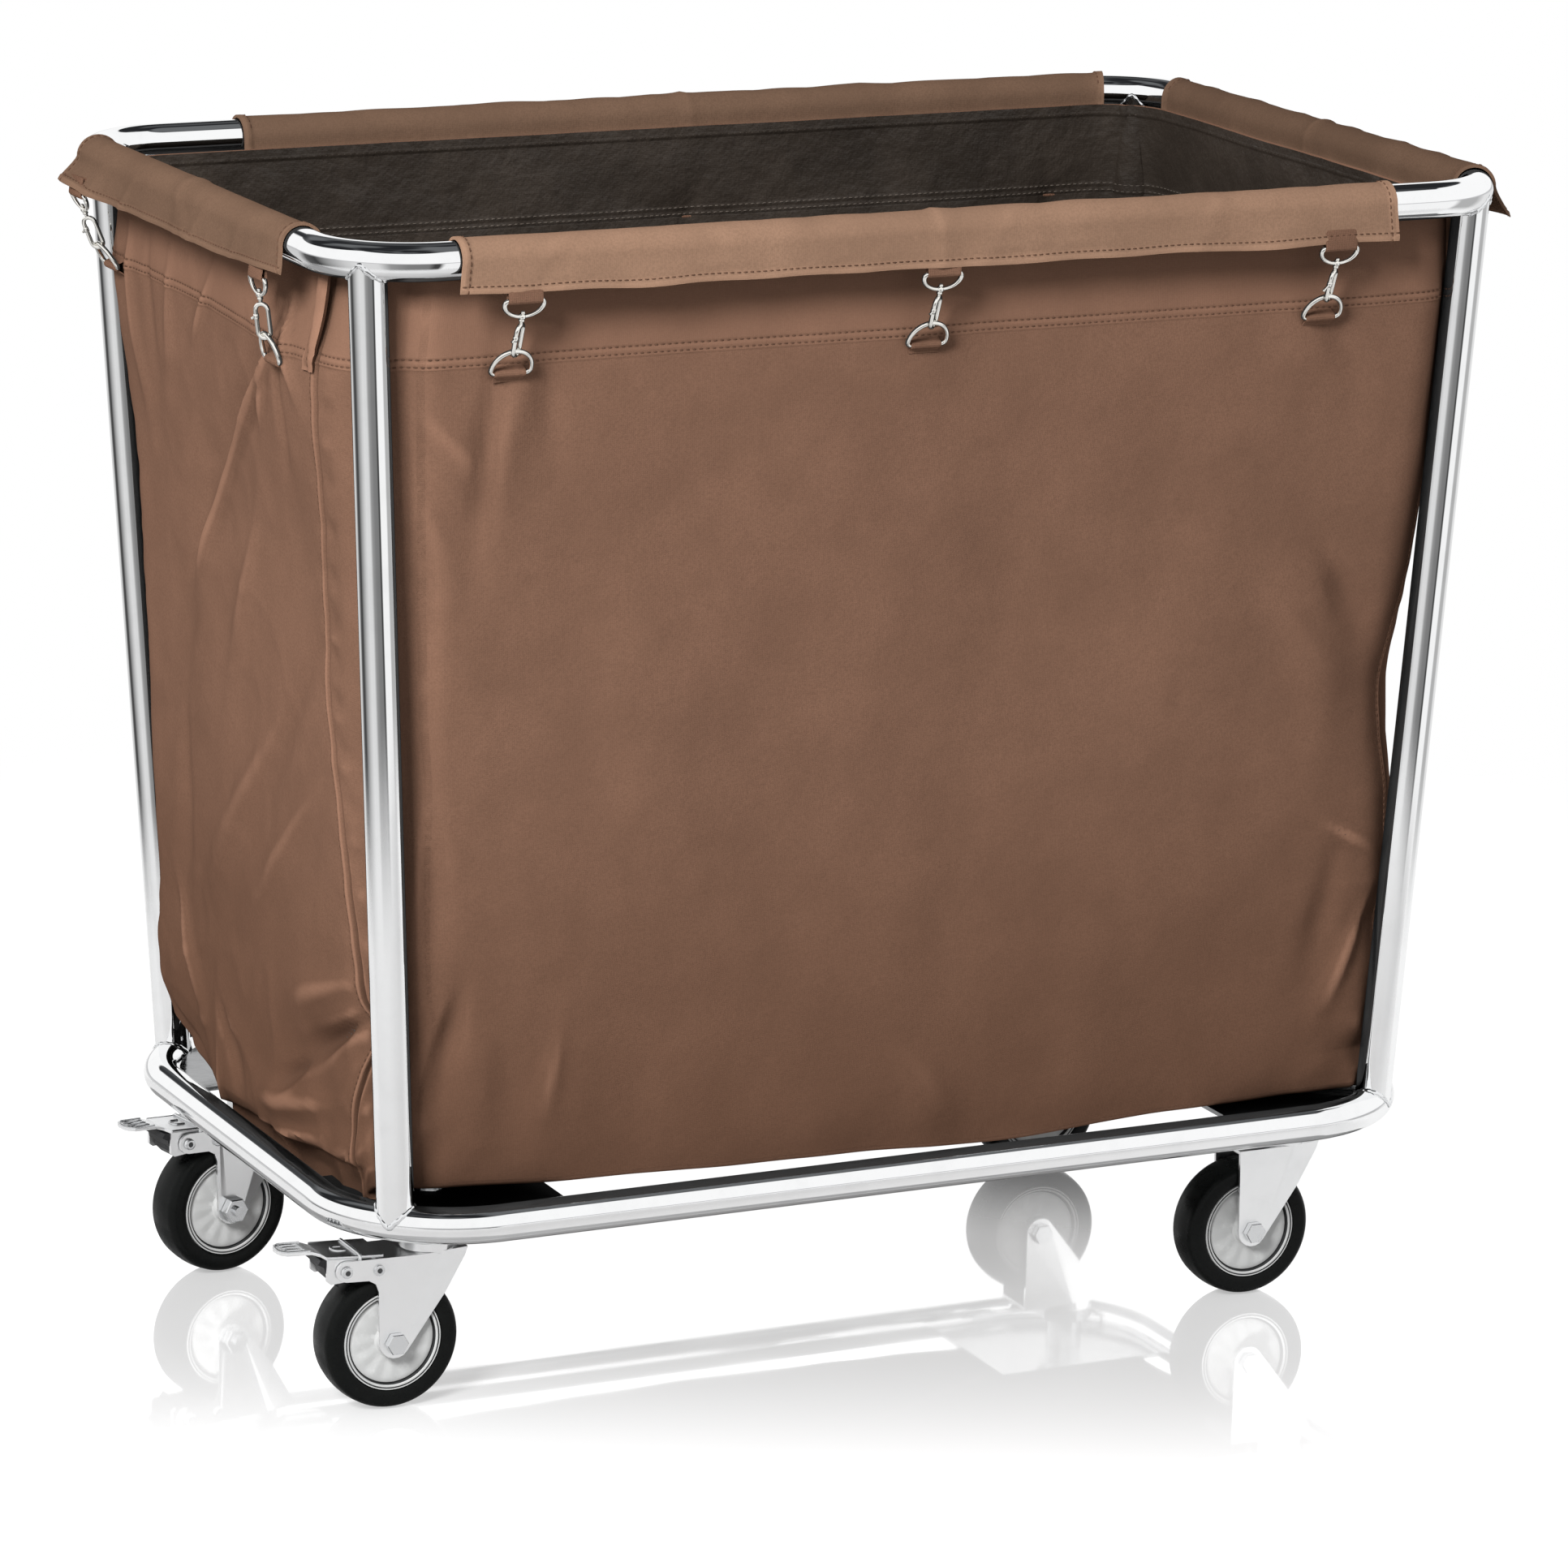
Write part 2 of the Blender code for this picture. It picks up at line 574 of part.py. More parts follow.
def tyre():
    """The tread ring. Its corners stand out so that its flat facets reach the wheel radius."""
    outer = WHEEL_R / math.cos(math.pi / WHEEL_FACETS)
    half = [(TYRE_SEAT_R, 0.0146), (0.0420, TYRE_HALF_W)]
    half += [(outer - 0.0045, 0.0140), (outer - 0.0010, 0.0095), (outer, 0.0060)]
    profile = half + [(radius, -height) for radius, height in reversed(half)]
    phase = 0.5 if WHEEL_FACETS % 4 == 0 else 0.25
    return to_mesh("tyre", laid_on_y(revolved(profile, WHEEL_FACETS, phase)), 40)


def brake_pedal():
    """The foot pedal: a sloped plate with a tongue, and two lugs that hold its pivot pin."""
    thick = 0.0022
    stations = ((-0.0410, 0.0185, 0.1128), (-0.0825, 0.0185, 0.1150), (-0.0845, 0.0120, 0.1157),
                (-0.0910, 0.0118, 0.1182), (-0.1085, 0.0115, 0.1189), (-0.1120, 0.0085, 0.1190),
                (-0.1135, 0.0040, 0.1190))
    bm = bmesh.new()
    rings = []
    for x, half, z in stations:
        corners = ((-half, z), (half, z), (half, z + thick), (-half, z + thick))
        rings.append([bm.verts.new((x, y, height)) for y, height in corners])
    skin(bm, rings)
    bm.faces.new(rings[0])
    bm.faces.new(rings[-1])
    lug = [(-0.0560, 0.1146), (-0.0820, 0.1160), (-0.0820, 0.0990), (-0.0790, 0.0965)]
    lug += [(-0.0700, 0.0972), (-0.0600, 0.1000)]
    pin = [(0, -0.0220), (0.0034, -0.0217), (0.0042, -0.0203), (PIVOT_R, -0.0203), (PIVOT_R, 0.0203)]
    pin += [(0.0042, 0.0203), (0.0034, 0.0217), (0, 0.0220)]
    steps = [("UNION", prism(lug, low, low + 0.0024)) for low in (-0.0169, 0.0145)]
    steps.append(("UNION", laid_on_y(revolved(pin, 12), PIVOT_X, PIVOT_Z)))
    return moved_to_pivot("brake_pedal", joined(bm, *steps))


def brake_cam():
    """The toothed plastic cam under the pedal, between its lugs."""
    outline = [(-0.0722, 0.1138), (-0.0855, 0.1142), (-0.0875, 0.1110), (-0.0830, 0.1085)]
    outline += [(-0.0822, 0.1045), (-0.0785, 0.1020), (-0.0772, 0.0975), (-0.0722, 0.0925)]
    return moved_to_pivot("brake_cam", prism(outline, -0.0142, 0.0142))


def moved_to_pivot(name, bm):
    """Shift a brake piece so that its origin is on the pedal pivot."""
    bmesh.ops.translate(bm, vec=(-PIVOT_X, 0.0, -PIVOT_Z), verts=bm.verts)
    return to_mesh(name, bm)


def caster(corner, sign_x, sign_y, steer, braked, meshes):
    """One caster: the mount on the frame, the swivelling fork, the wheel and any brake."""
    spot = (sign_x * SWIVEL_X, sign_y * SWIVEL_Y, 0.0)
    place(f"caster_{corner}_mount", meshes["mount"], ZINC, spot)
    swivel = joint_empty(f"caster_{corner}_swivel", spot, steer)
    place(f"caster_{corner}_fork", meshes["braked" if braked else "plain"], ZINC, parent=swivel)
    axle = joint_empty(f"caster_{corner}_axle", (-TRAIL, 0.0, 0.050), parent=swivel)
    bolt = meshes["flipped_bolt" if corner == "back_left" else "bolt"]
    place(f"caster_{corner}_axle_bolt", bolt, ZINC, parent=axle)
    place(f"caster_{corner}_hub", meshes["hub"], GREY_PLASTIC, parent=axle)
    place(f"caster_{corner}_tyre", meshes["tyre"], RUBBER, parent=axle)
    if braked:
        pivot = joint_empty(f"brake_{corner}_pivot", (PIVOT_X, 0.0, PIVOT_Z), parent=swivel)
        place(f"brake_{corner}_pedal", meshes["pedal"], ZINC, parent=pivot)
        place(f"brake_{corner}_cam", meshes["cam"], BLACK_PLASTIC, parent=pivot)


def build():
    """Build every piece of the trolley."""
    clear_scene()
    place("top_rim", ring_tube(RIM_HALF_X, RIM_HALF_Y, RIM_BEND_R, RIM_Z), CHROME)
    place("base_ring", ring_tube(BASE_HALF_X, BASE_HALF_Y, BASE_BEND_R, BASE_Z), CHROME)
    place("linen_bag", bag(), BROWN)
    meshes = {
        "mount": caster_mount(), "braked": fork(True), "plain": fork(False), "bolt": axle_bolt(False),
        "flipped_bolt": axle_bolt(True), "hub": hub(), "tyre": tyre(), "pedal": brake_pedal(),
        "cam": brake_cam(),
    }
    for corner, (sign_x, sign_y, steer, braked) in CASTERS.items():
        place(f"post_{corner}", post(sign_x, sign_y), CHROME)
        place(f"corner_plate_{corner}", corner_plate(sign_x, sign_y), CHROME)
        caster(corner, sign_x, sign_y, steer, braked, meshes)
    snap_hook()
    d_ring()
    for side, (turn, offset, centre, half_length, places) in SIDES.items():
        place(f"flap_{side}", flap(offset, centre, half_length), BROWN, turn=turn)
        clips(side, turn, offset, centre, places)


build()
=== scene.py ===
import json
import math

import bmesh
import bpy
import numpy as np
from mathutils import Matrix, Vector, noise


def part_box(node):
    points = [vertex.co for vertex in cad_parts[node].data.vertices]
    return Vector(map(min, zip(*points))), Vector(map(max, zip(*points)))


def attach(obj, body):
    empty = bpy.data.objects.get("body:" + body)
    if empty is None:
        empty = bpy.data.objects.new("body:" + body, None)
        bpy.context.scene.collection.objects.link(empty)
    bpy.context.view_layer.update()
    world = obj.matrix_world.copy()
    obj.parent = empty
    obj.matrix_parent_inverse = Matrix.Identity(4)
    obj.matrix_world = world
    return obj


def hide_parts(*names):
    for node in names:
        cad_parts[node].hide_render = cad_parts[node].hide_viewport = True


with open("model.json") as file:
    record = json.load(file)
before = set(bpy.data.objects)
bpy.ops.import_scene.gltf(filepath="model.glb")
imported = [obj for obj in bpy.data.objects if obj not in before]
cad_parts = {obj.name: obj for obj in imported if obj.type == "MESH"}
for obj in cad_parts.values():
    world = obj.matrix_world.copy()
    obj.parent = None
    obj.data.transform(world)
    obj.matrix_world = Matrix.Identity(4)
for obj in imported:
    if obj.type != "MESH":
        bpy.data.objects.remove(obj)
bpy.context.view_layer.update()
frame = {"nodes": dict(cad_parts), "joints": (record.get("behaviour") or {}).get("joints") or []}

JOINTS = {joint["name"]: joint for joint in frame["joints"]}

# Frame, read from the CAD nodes; its tubes have 16 flat sides
TUBE_R = 0.013
TUBE_FACET = TUBE_R * math.cos(math.pi / 16)
RIM_LOW, RIM_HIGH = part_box("top_rim")
BASE_LOW, BASE_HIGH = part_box("base_ring")
RIM_X, RIM_Y = RIM_HIGH.x - TUBE_FACET, RIM_HIGH.y - TUBE_FACET
BASE_X, BASE_Y = BASE_HIGH.x - TUBE_FACET, BASE_HIGH.y - TUBE_FACET
RIM_Z, BASE_Z = (RIM_LOW.z + RIM_HIGH.z) / 2, (BASE_LOW.z + BASE_HIGH.z) / 2
RIM_BEND_R, BASE_BEND_R = 0.065, 0.095
WELD_R = 0.0019

# Bag: height, half sizes and corner radius of each level of its outer face
BAG_LOW, BAG_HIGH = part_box("linen_bag")
BAND_Z = 0.745
BAG_LEVELS = np.array((
    (BAG_LOW.z, 0.3930, 0.2070, 0.026),
    (0.190, 0.3985, 0.2105, 0.030),
    (0.230, 0.4020, 0.2140, 0.034),
    (0.340, 0.4055, 0.2225, 0.040),
    (0.460, 0.4070, 0.2320, 0.046),
    (0.600, 0.4115, 0.2430, 0.048),
    (0.700, 0.4205, 0.2510, 0.048),
    (BAND_Z, BAG_HIGH.x + 0.0030, BAG_HIGH.y - 0.0005, 0.048),
    (BAG_HIGH.z, BAG_HIGH.x - 0.0012, BAG_HIGH.y, 0.048),
))
# How much further out the right end's front corner stands, by height
RIGHT_OUT = np.array((
    (0.150, 0.0090), (0.175, 0.0010), (0.190, -0.0060), (0.210, 0.0020), (0.250, -0.0010), (0.285, -0.0060),
    (0.315, -0.0005), (0.340, -0.0020), (0.380, -0.0040), (0.420, -0.0090), (0.466, -0.0100),
    (0.510, -0.0070), (0.560, -0.0035), (0.640, -0.0010), (0.745, -0.0025), (0.790, -0.0035)))
# Thickness of the cloth and of the band's extra layer, room kept to the posts, and stitches along a seam
CLOTH_T, BAND_T, POST_ROOM, STITCH_PITCH = 0.0011, 0.0009, 0.0016, 0.0048
# The band's two rows of stitches above its seam, and the hem's row below the mouth
BAND_ROWS, HEM_ROW = (0.0016, 0.0066), 0.0075

# Lengths round the bag at the band seam: s is 0 at the left end of the front, and grows anticlockwise
CORNER_R = BAG_LEVELS[-2, 3]
LONG, SHORT = 2 * (BAG_LEVELS[-2, 1] - CORNER_R), 2 * (BAG_LEVELS[-2, 2] - CORNER_R)
ARC = CORNER_R * math.pi / 2
S_RIGHT = LONG + ARC
S_BACK, S_LEFT = S_RIGHT + SHORT + ARC, S_RIGHT + SHORT + ARC + LONG + ARC
ROUND = 2 * (LONG + SHORT) + 4 * ARC
# s at the middle of each side, and whether x or y grows or falls with it there
MIDDLES = {"front": (LONG / 2, 1), "right": (S_RIGHT + SHORT / 2, 1), "back": (S_BACK + LONG / 2, -1),
           "left": (S_LEFT + SHORT / 2, -1)}

# Each corner's signs along x and y, and the casters with a brake
CORNERS = {"front_left": (-1, -1), "front_right": (1, -1), "back_left": (-1, 1), "back_right": (1, 1)}
BRAKED = ("front_left", "back_left")

# Flaps: turn of the side's own frame about Z, in which x runs along the side and y points inward
FLAPS = {"front": (0, RIM_Y, RIM_X), "right": (90, RIM_X, RIM_Y), "back": (180, RIM_Y, RIM_X),
         "left": (270, RIM_X, RIM_Y)}
# Radius of the fold over the rim, and the stitched rows' distance from a flap's ends and lower edge
FLAP_R, HEM_IN, HEM_UP = TUBE_R + 0.0006, 0.0055, 0.0049


# ---------------------------------------------------------------- mesh helpers

def new_object(name, mesh, materials, smooth=40):
    """Put mesh data in the scene with its materials, shaded smooth below an angle."""
    item = bpy.data.objects.new(name, mesh)
    bpy.context.scene.collection.objects.link(item)
    for material in materials:
        mesh.materials.append(material)
    mesh.shade_smooth()
    mesh.set_sharp_from_angle(angle=math.radians(smooth))
    return item


def piece(name, mesh, body, materials, smooth=40):
    """A finished piece that rides on a CAD body."""
    item = new_object(name, mesh, materials, smooth)
    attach(item, body)
    return item


def mesh_from(name, points, faces, uv=None, marks=None):
    """Mesh data from points and faces, with an optional UV per point and material index per face."""
    mesh = bpy.data.meshes.new(name)
    mesh.from_pydata(np.asarray(points).reshape(-1, 3).tolist(), [], faces)
    if uv is not None:
        layer = mesh.uv_layers.new(name="UVMap")
        loops = np.zeros(len(mesh.loops), np.int32)
        mesh.loops.foreach_get("vertex_index", loops)
        layer.data.foreach_set("uv", np.asarray(uv, np.float32).reshape(-1, 2)[loops].ravel())
    if marks is not None:
        mesh.polygons.foreach_set("material_index", np.asarray(marks, np.int32))
    mesh.validate()
    return mesh


def from_bmesh(name, bm):
    """Mesh data from a bmesh, with outward faces."""
    bmesh.ops.recalc_face_normals(bm, faces=bm.faces)
    mesh = bpy.data.meshes.new(name)
    bm.to_mesh(mesh)
    bm.free()
    return mesh


def fix_faces(mesh):
    """Turn a closed mesh's faces outward."""
    bm = bmesh.new()
    bm.from_mesh(mesh)
    bmesh.ops.recalc_face_normals(bm, faces=bm.faces)
    bm.to_mesh(mesh)
    bm.free()


def grid_faces(rows, cols, wrap=False, first=0, flip=False):
    """Quads of a grid of points; wrap joins its last column to its first."""
    faces = []
    for r in range(rows - 1):
        for c in range(cols if wrap else cols - 1):
            d = (c + 1) % cols
            quad = (first + r * cols + c, first + r * cols + d, first + (r + 1) * cols + d,
                    first + (r + 1) * cols + c)
            faces.append(quad[::-1] if flip else quad)
    return faces


def grid_normals(points, wrap=False):
    """Unit normals of a grid: across its columns, then down its rows."""
    along = np.roll(points, -1, 1) - np.roll(points, 1, 1) if wrap else np.gradient(points, axis=1)
    down = np.gradient(points, axis=0)
    normal = np.cross(down, along)
    return normal / (np.linalg.norm(normal, axis=2, keepdims=True) + 1e-12)


def sheet(name, face, back, uv):
    """A closed thin sheet between two grids of the same size, open on no side, with outward faces."""
    rows, cols = face.shape[:2]
    count = rows * cols
    faces = grid_faces(rows, cols, flip=True) + grid_faces(rows, cols, first=count)
    border = list(range(cols)) + [r * cols + cols - 1 for r in range(1, rows)]
    border += [(rows - 1) * cols + c for c in range(cols - 2, -1, -1)]
    border += [r * cols for r in range(rows - 2, 0, -1)]
    for one, two in zip(border, border[1:] + border[:1]):
        faces.append((one, two, two + count, one + count))
    points = np.concatenate([face.reshape(-1, 3), back.reshape(-1, 3)])
    mesh = mesh_from(name, points, faces, np.concatenate([uv.reshape(-1, 2)] * 2))
    fix_faces(mesh)
    return mesh


def tube_mesh(name, path, radius, sides, closed, normal=None):
    """A round bar along a path; radius is one number or one for each point."""
    path = np.asarray(path, float)
    count = len(path)
    radii = np.broadcast_to(np.asarray(radius, float), (count,))
    ahead = unit(np.roll(path, -1, 0) - np.roll(path, 1, 0) if closed else np.gradient(path, axis=0))
    if normal is None:
        side = np.cross(ahead[0], (0.0, 0.0, 1.0) if abs(ahead[0][2]) < 0.9 else (0.0, 1.0, 0.0))
        sides_at = []
        for k in range(count):
            side = unit(side - ahead[k] * (side @ ahead[k]))
            sides_at.append(side)
        sides_at = np.array(sides_at)
    else:
        sides_at = unit(np.cross(np.asarray(normal, float), ahead))
    others = np.cross(ahead, sides_at)
    angles = 2 * np.pi * (np.arange(sides) + 0.5) / sides
    ring = np.cos(angles)[None, :, None] * sides_at[:, None] + np.sin(angles)[None, :, None] * others[:, None]
    points = (path[:, None] + radii[:, None, None] * ring).reshape(-1, 3)
    faces = []
    for k in range(count if closed else count - 1):
        after = (k + 1) % count
        for j in range(sides):
            i = (j + 1) % sides
            faces.append((k * sides + j, after * sides + j, after * sides + i, k * sides + i))
    if not closed:
        faces.append(tuple(range(sides)))
        faces.append(tuple((count - 1) * sides + j for j in range(sides - 1, -1, -1)))
    mesh = mesh_from(name, points, faces)
    bm = bmesh.new()
    bm.from_mesh(mesh)
    bpy.data.meshes.remove(mesh)
    return from_bmesh(name, bm)


def revolved(name, profile, steps, wave=None):
    """A ring or disc turned about Y from (radius, y) points; wave(radius, y, angle) shifts y."""
    bm = bmesh.new()
    rings = []
    for radius, y in profile:
        ring = []
        for k in range(steps):
            angle = 2 * math.pi * k / steps
            shift = wave(radius, y, angle) if wave else 0.0
            ring.append(bm.verts.new((radius * math.cos(angle), y + shift, radius * math.sin(angle))))
        rings.append(ring)
    for one, two in zip(rings, rings[1:] + rings[:1]):
        for k in range(steps):
            j = (k + 1) % steps
            bm.faces.new((one[k], one[j], two[j], two[k]))
    return from_bmesh(name, bm)


def merged(name, meshes):
    """One mesh of several, which are then removed."""
    bm = bmesh.new()
    for mesh in meshes:
        bm.from_mesh(mesh)
        bpy.data.meshes.remove(mesh)
    mesh = bpy.data.meshes.new(name)
    bm.to_mesh(mesh)
    bm.free()
    return mesh


def arc_points(centre, radius, start, end, steps):
    """(a, b) points on an arc in a plane, from start to end in degrees."""
    angles = np.radians(np.linspace(start, end, steps + 1))
    return np.stack([centre[0] + radius * np.cos(angles), centre[1] + radius * np.sin(angles)], 1)


def rounded_loop(half_x, half_y, bend_r, height, steps, spacing):
    """Points round a bent ring, with the straights divided about every spacing."""
    corners = []
    for sign_x, sign_y, start in ((1, 1, 0), (-1, 1, 90), (-1, -1, 180), (1, -1, 270)):
        centre = sign_x * (half_x - bend_r), sign_y * (half_y - bend_r)
        corners.append(arc_points(centre, bend_r, start, start + 90, steps))
    points = []
    for corner, after in zip(corners, corners[1:] + corners[:1]):
        points += list(corner)
        parts = max(1, round(np.linalg.norm(after[0] - corner[-1]) / spacing))
        points += [corner[-1] + (after[0] - corner[-1]) * k / parts for k in range(1, parts)]
    return [(x, y, height) for x, y in points]


def ripple(points, scale, seed=0.0):
    """Smooth noise between about -1 and 1 at each point."""
    flat = np.asarray(points, float).reshape(-1, 3) * scale + seed
    values = [noise.noise(Vector(p)) for p in flat]
    return np.array(values).reshape(np.asarray(points).shape[:-1]) * 2.0


def bump(x, centre, width):
    """A bell curve of height 1."""
    return np.exp(-((x - centre) / width) ** 2)


def unit(vectors):
    """Vectors, or an array of them, scaled to length 1."""
    return vectors / np.linalg.norm(vectors, axis=-1, keepdims=True)


def step_up(x, low, high):
    """A smooth rise from 0 at low to 1 at high."""
    t = np.clip((x - low) / (high - low), 0, 1)
    return t * t * (3 - 2 * t)


# ---------------------------------------------------------------- materials

class Look:
    """A Principled material and short calls that add nodes to it."""

    def __init__(self, name):
        self.material = bpy.data.materials.new(name)
        self.material.use_nodes = True
        self.tree = self.material.node_tree
        self.shader = self.tree.nodes["Principled BSDF"]
        self.coords = self.tree.nodes.new("ShaderNodeTexCoord")

    def node(self, kind, values=(), **settings):
        """A node with its settings, and values or links for its inputs."""
        made = self.tree.nodes.new(kind)
        for key, value in settings.items():
            setattr(made, key, value)
        for key, value in dict(values).items():
            self.put(made.inputs[key], value)
        return made

    def put(self, socket, value):
        """Link an output to an input, or set its value."""
        if isinstance(value, bpy.types.NodeSocket):
            self.tree.links.new(value, socket)
        else:
            socket.default_value = value

    def set(self, **values):
        """Set or link the shader's inputs, with _ for a space."""
        for key, value in values.items():
            self.put(self.shader.inputs[key.replace("_", " ")], value)

    def noise(self, scale, detail=2.0, vector=None, rough=0.5):
        """Noise, 0 to 1."""
        vector = vector or self.coords.outputs["Object"]
        values = {"Scale": scale, "Detail": detail, "Roughness": rough, "Vector": vector}
        return self.node("ShaderNodeTexNoise", values).outputs["Fac"]

    def math(self, kind, a, b=0.0, c=0.0):
        """A math node."""
        return self.node("ShaderNodeMath", {0: a, 1: b, 2: c}, operation=kind).outputs[0]

    def range(self, value, low, high, to_low, to_high):
        """Map one range onto another, with a smooth step."""
        values = {"Value": value, "From Min": low, "From Max": high, "To Min": to_low, "To Max": to_high}
        return self.node("ShaderNodeMapRange", values, interpolation_type="SMOOTHSTEP").outputs["Result"]

    def mix(self, share, one, two):
        """Mix two colours."""
        made = self.node("ShaderNodeMix", data_type="RGBA")
        self.put(made.inputs[0], share)
        self.put(made.inputs[6], one)
        self.put(made.inputs[7], two)
        return made.outputs[2]

    def bump(self, height, distance, strength=1.0, after=None):
        """A bump from a height, on top of another bump."""
        values = {"Height": height, "Distance": distance, "Strength": strength}
        made = self.node("ShaderNodeBump", values)
        if after is not None:
            self.put(made.inputs["Normal"], after)
        return made.outputs["Normal"]


def times(colour, factor):
    """A colour made darker or paler, with alpha."""
    return tuple(min(1.0, c * factor) for c in colour[:3]) + (1.0,)


def metal(name, colour, rough, rough_spread, grain, bump_height=0.0):
    """Plated metal with faint smudges, a grain that scatters its shine, and small dents."""
    look = Look(name)
    smudge = look.noise(38.0, 4.0, rough=0.6)
    fine = look.noise(grain, 2.0)
    dull = look.range(smudge, 0.45, 0.75, 0.0, 1.0)
    tint = look.mix(look.math("MULTIPLY", dull, 0.30), colour, times(colour, 0.86))
    tint = look.mix(look.math("MULTIPLY", fine, 0.05), tint, (0.55, 0.54, 0.52, 1.0))
    speckle = look.math("MULTIPLY", fine, rough_spread)
    look.set(Base_Color=tint, Metallic=1.0)
    look.set(Roughness=look.math("MULTIPLY_ADD", dull, rough_spread, look.math("ADD", speckle, rough)))
    if bump_height:
        look.set(Normal=look.bump(look.noise(grain * 0.5, 3.0), bump_height))
    return look.material


def cloth(name, colour, shade=1.0, spread=0.10, rough=0.6, weave=0.00010, mirror=None, shade_paint=0.0, fold_light_paint=0.0,
          gloss=0.0, crumple=0.0016):
    """Woven cloth: crossed yarns, mottled dye and specks.

    With its shade setting it paints shade low down and more on the left end, a paler band above the band
    seam, and contact shade near other parts; with its fold setting it paints a highlight on its folds and
    shade in its creases. gloss gives it a coating.
    """
    look = Look(name)
    uv, place = look.coords.outputs["UV"], look.coords.outputs["Object"]
    # shade scales the colour: a real darker tone for the thread, and painted light and shade for each flap's
    # copy
    colour = tuple(c * shade for c in colour)
    dark, pale = times(colour, 1 - spread), times(colour, 1 + spread)
    warp, weft = (look.node("ShaderNodeTexWave", {"Vector": uv, "Scale": 320.0, "Distortion": 0.6},
                            bands_direction=way).outputs["Fac"] for way in "XY")
    yarns = look.math("MULTIPLY", warp, weft)
    grain = look.noise(620.0, 3.0, place, 0.7)
    mottle = look.noise(13.0, 5.0, place, 0.62)
    tint = look.mix(look.range(mottle, 0.28, 0.74, 0.0, 1.0), dark, pale)
    tint = look.mix(look.range(grain, 0.38, 0.66, 0.0, 0.46), tint, times(colour, 0.72))
    tint = look.mix(look.range(look.noise(240.0, 1.0, place), 0.70, 0.80, 0.0, 0.35), tint, pale)
    if shade_paint:
        # painted shade: darker and deeper in hue towards the floor, and more so on the left end
        split = look.node("ShaderNodeSeparateXYZ", {0: place})
        low = look.range(split.outputs["Z"], BAG_LOW.z, 0.50, shade_paint, 0.0)
        low = look.math("MULTIPLY", low, look.range(split.outputs["X"], -0.43, -0.37, 1.45, 1.0))
        tint = look.mix(low, tint, (colour[0] * 0.46, colour[1] * 0.42, colour[2] * 0.38, 1.0))
        # painted light: the band above its seam is painted paler, making up for the flap's shadow on it
        band = look.range(split.outputs["Z"], BAND_Z - 0.004, BAND_Z + 0.004, 0.0, 0.55)
        tint = look.mix(band, tint, times(colour, 1.22))
    # painted highlight on convex folds and painted shade in creases, read from the mesh's curvature
    fold_curvature = look.tree.nodes.new("ShaderNodeNewGeometry").outputs["Pointiness"]
    tint = look.mix(look.range(fold_curvature, 0.504, 0.545, 0.0, fold_light_paint), tint, times(colour, 1.9))
    tint = look.mix(look.range(fold_curvature, 0.455, 0.496, fold_light_paint, 0.0), tint, times(colour, 0.45))
    if shade_paint:
        # painted contact shade: darker where other parts are close, as beside the posts
        near = look.node("ShaderNodeAmbientOcclusion", {"Distance": 0.030}, samples=4).outputs["AO"]
        tint = look.mix(look.range(near, 0.30, 0.92, 0.75, 0.0), tint, times(colour, 0.30))
    if mirror is not None:
        # painted reflection: metal sees this cloth as a flat grey instead of its brown
        light = look.node("ShaderNodeLightPath")
        tint = look.mix(light.outputs["Is Glossy Ray"], tint, mirror)
    look.set(Base_Color=tint, Sheen_Weight=0.02, Sheen_Roughness=0.5, Sheen_Tint=(0.5, 0.32, 0.24, 1.0))
    look.set(Roughness=look.math("MULTIPLY_ADD", mottle, 0.16, rough - 0.08))
    creased = look.bump(look.noise(48.0 if gloss == 0.0 else 17.0, 5.0, place, 0.62), crumple, 0.45)
    look.set(Normal=look.bump(look.math("MULTIPLY_ADD", grain, 0.6, yarns), weave, 0.8, creased))
    look.set(Specular_IOR_Level=gloss)
    return look.material


def moulded(name, colour, rough, grain=900.0, height=0.00006, dust=None, shine=0.25):
    """Moulded plastic or rubber with a fine grain, scuffs and a little dust."""
    look = Look(name)
    scuff = look.noise(120.0, 5.0, rough=0.7)
    shade = tuple(min(1.0, c * 1.35 + 0.004) for c in colour[:3]) + (1.0,)
    tint = look.mix(look.range(scuff, 0.50, 0.80, 0.0, 0.6), colour, shade)
    if dust is not None:
        up = look.noise(42.0, 6.0, rough=0.75)
        tint = look.mix(look.range(up, 0.55, 0.85, 0.0, 0.5), tint, dust)
    look.set(Base_Color=tint, Roughness=look.range(scuff, 0.3, 0.8, rough - 0.08, rough + 0.12))
    look.set(Normal=look.bump(look.noise(grain, 2.0), height, 0.6))
    look.set(Specular_IOR_Level=shine)
    return look.material


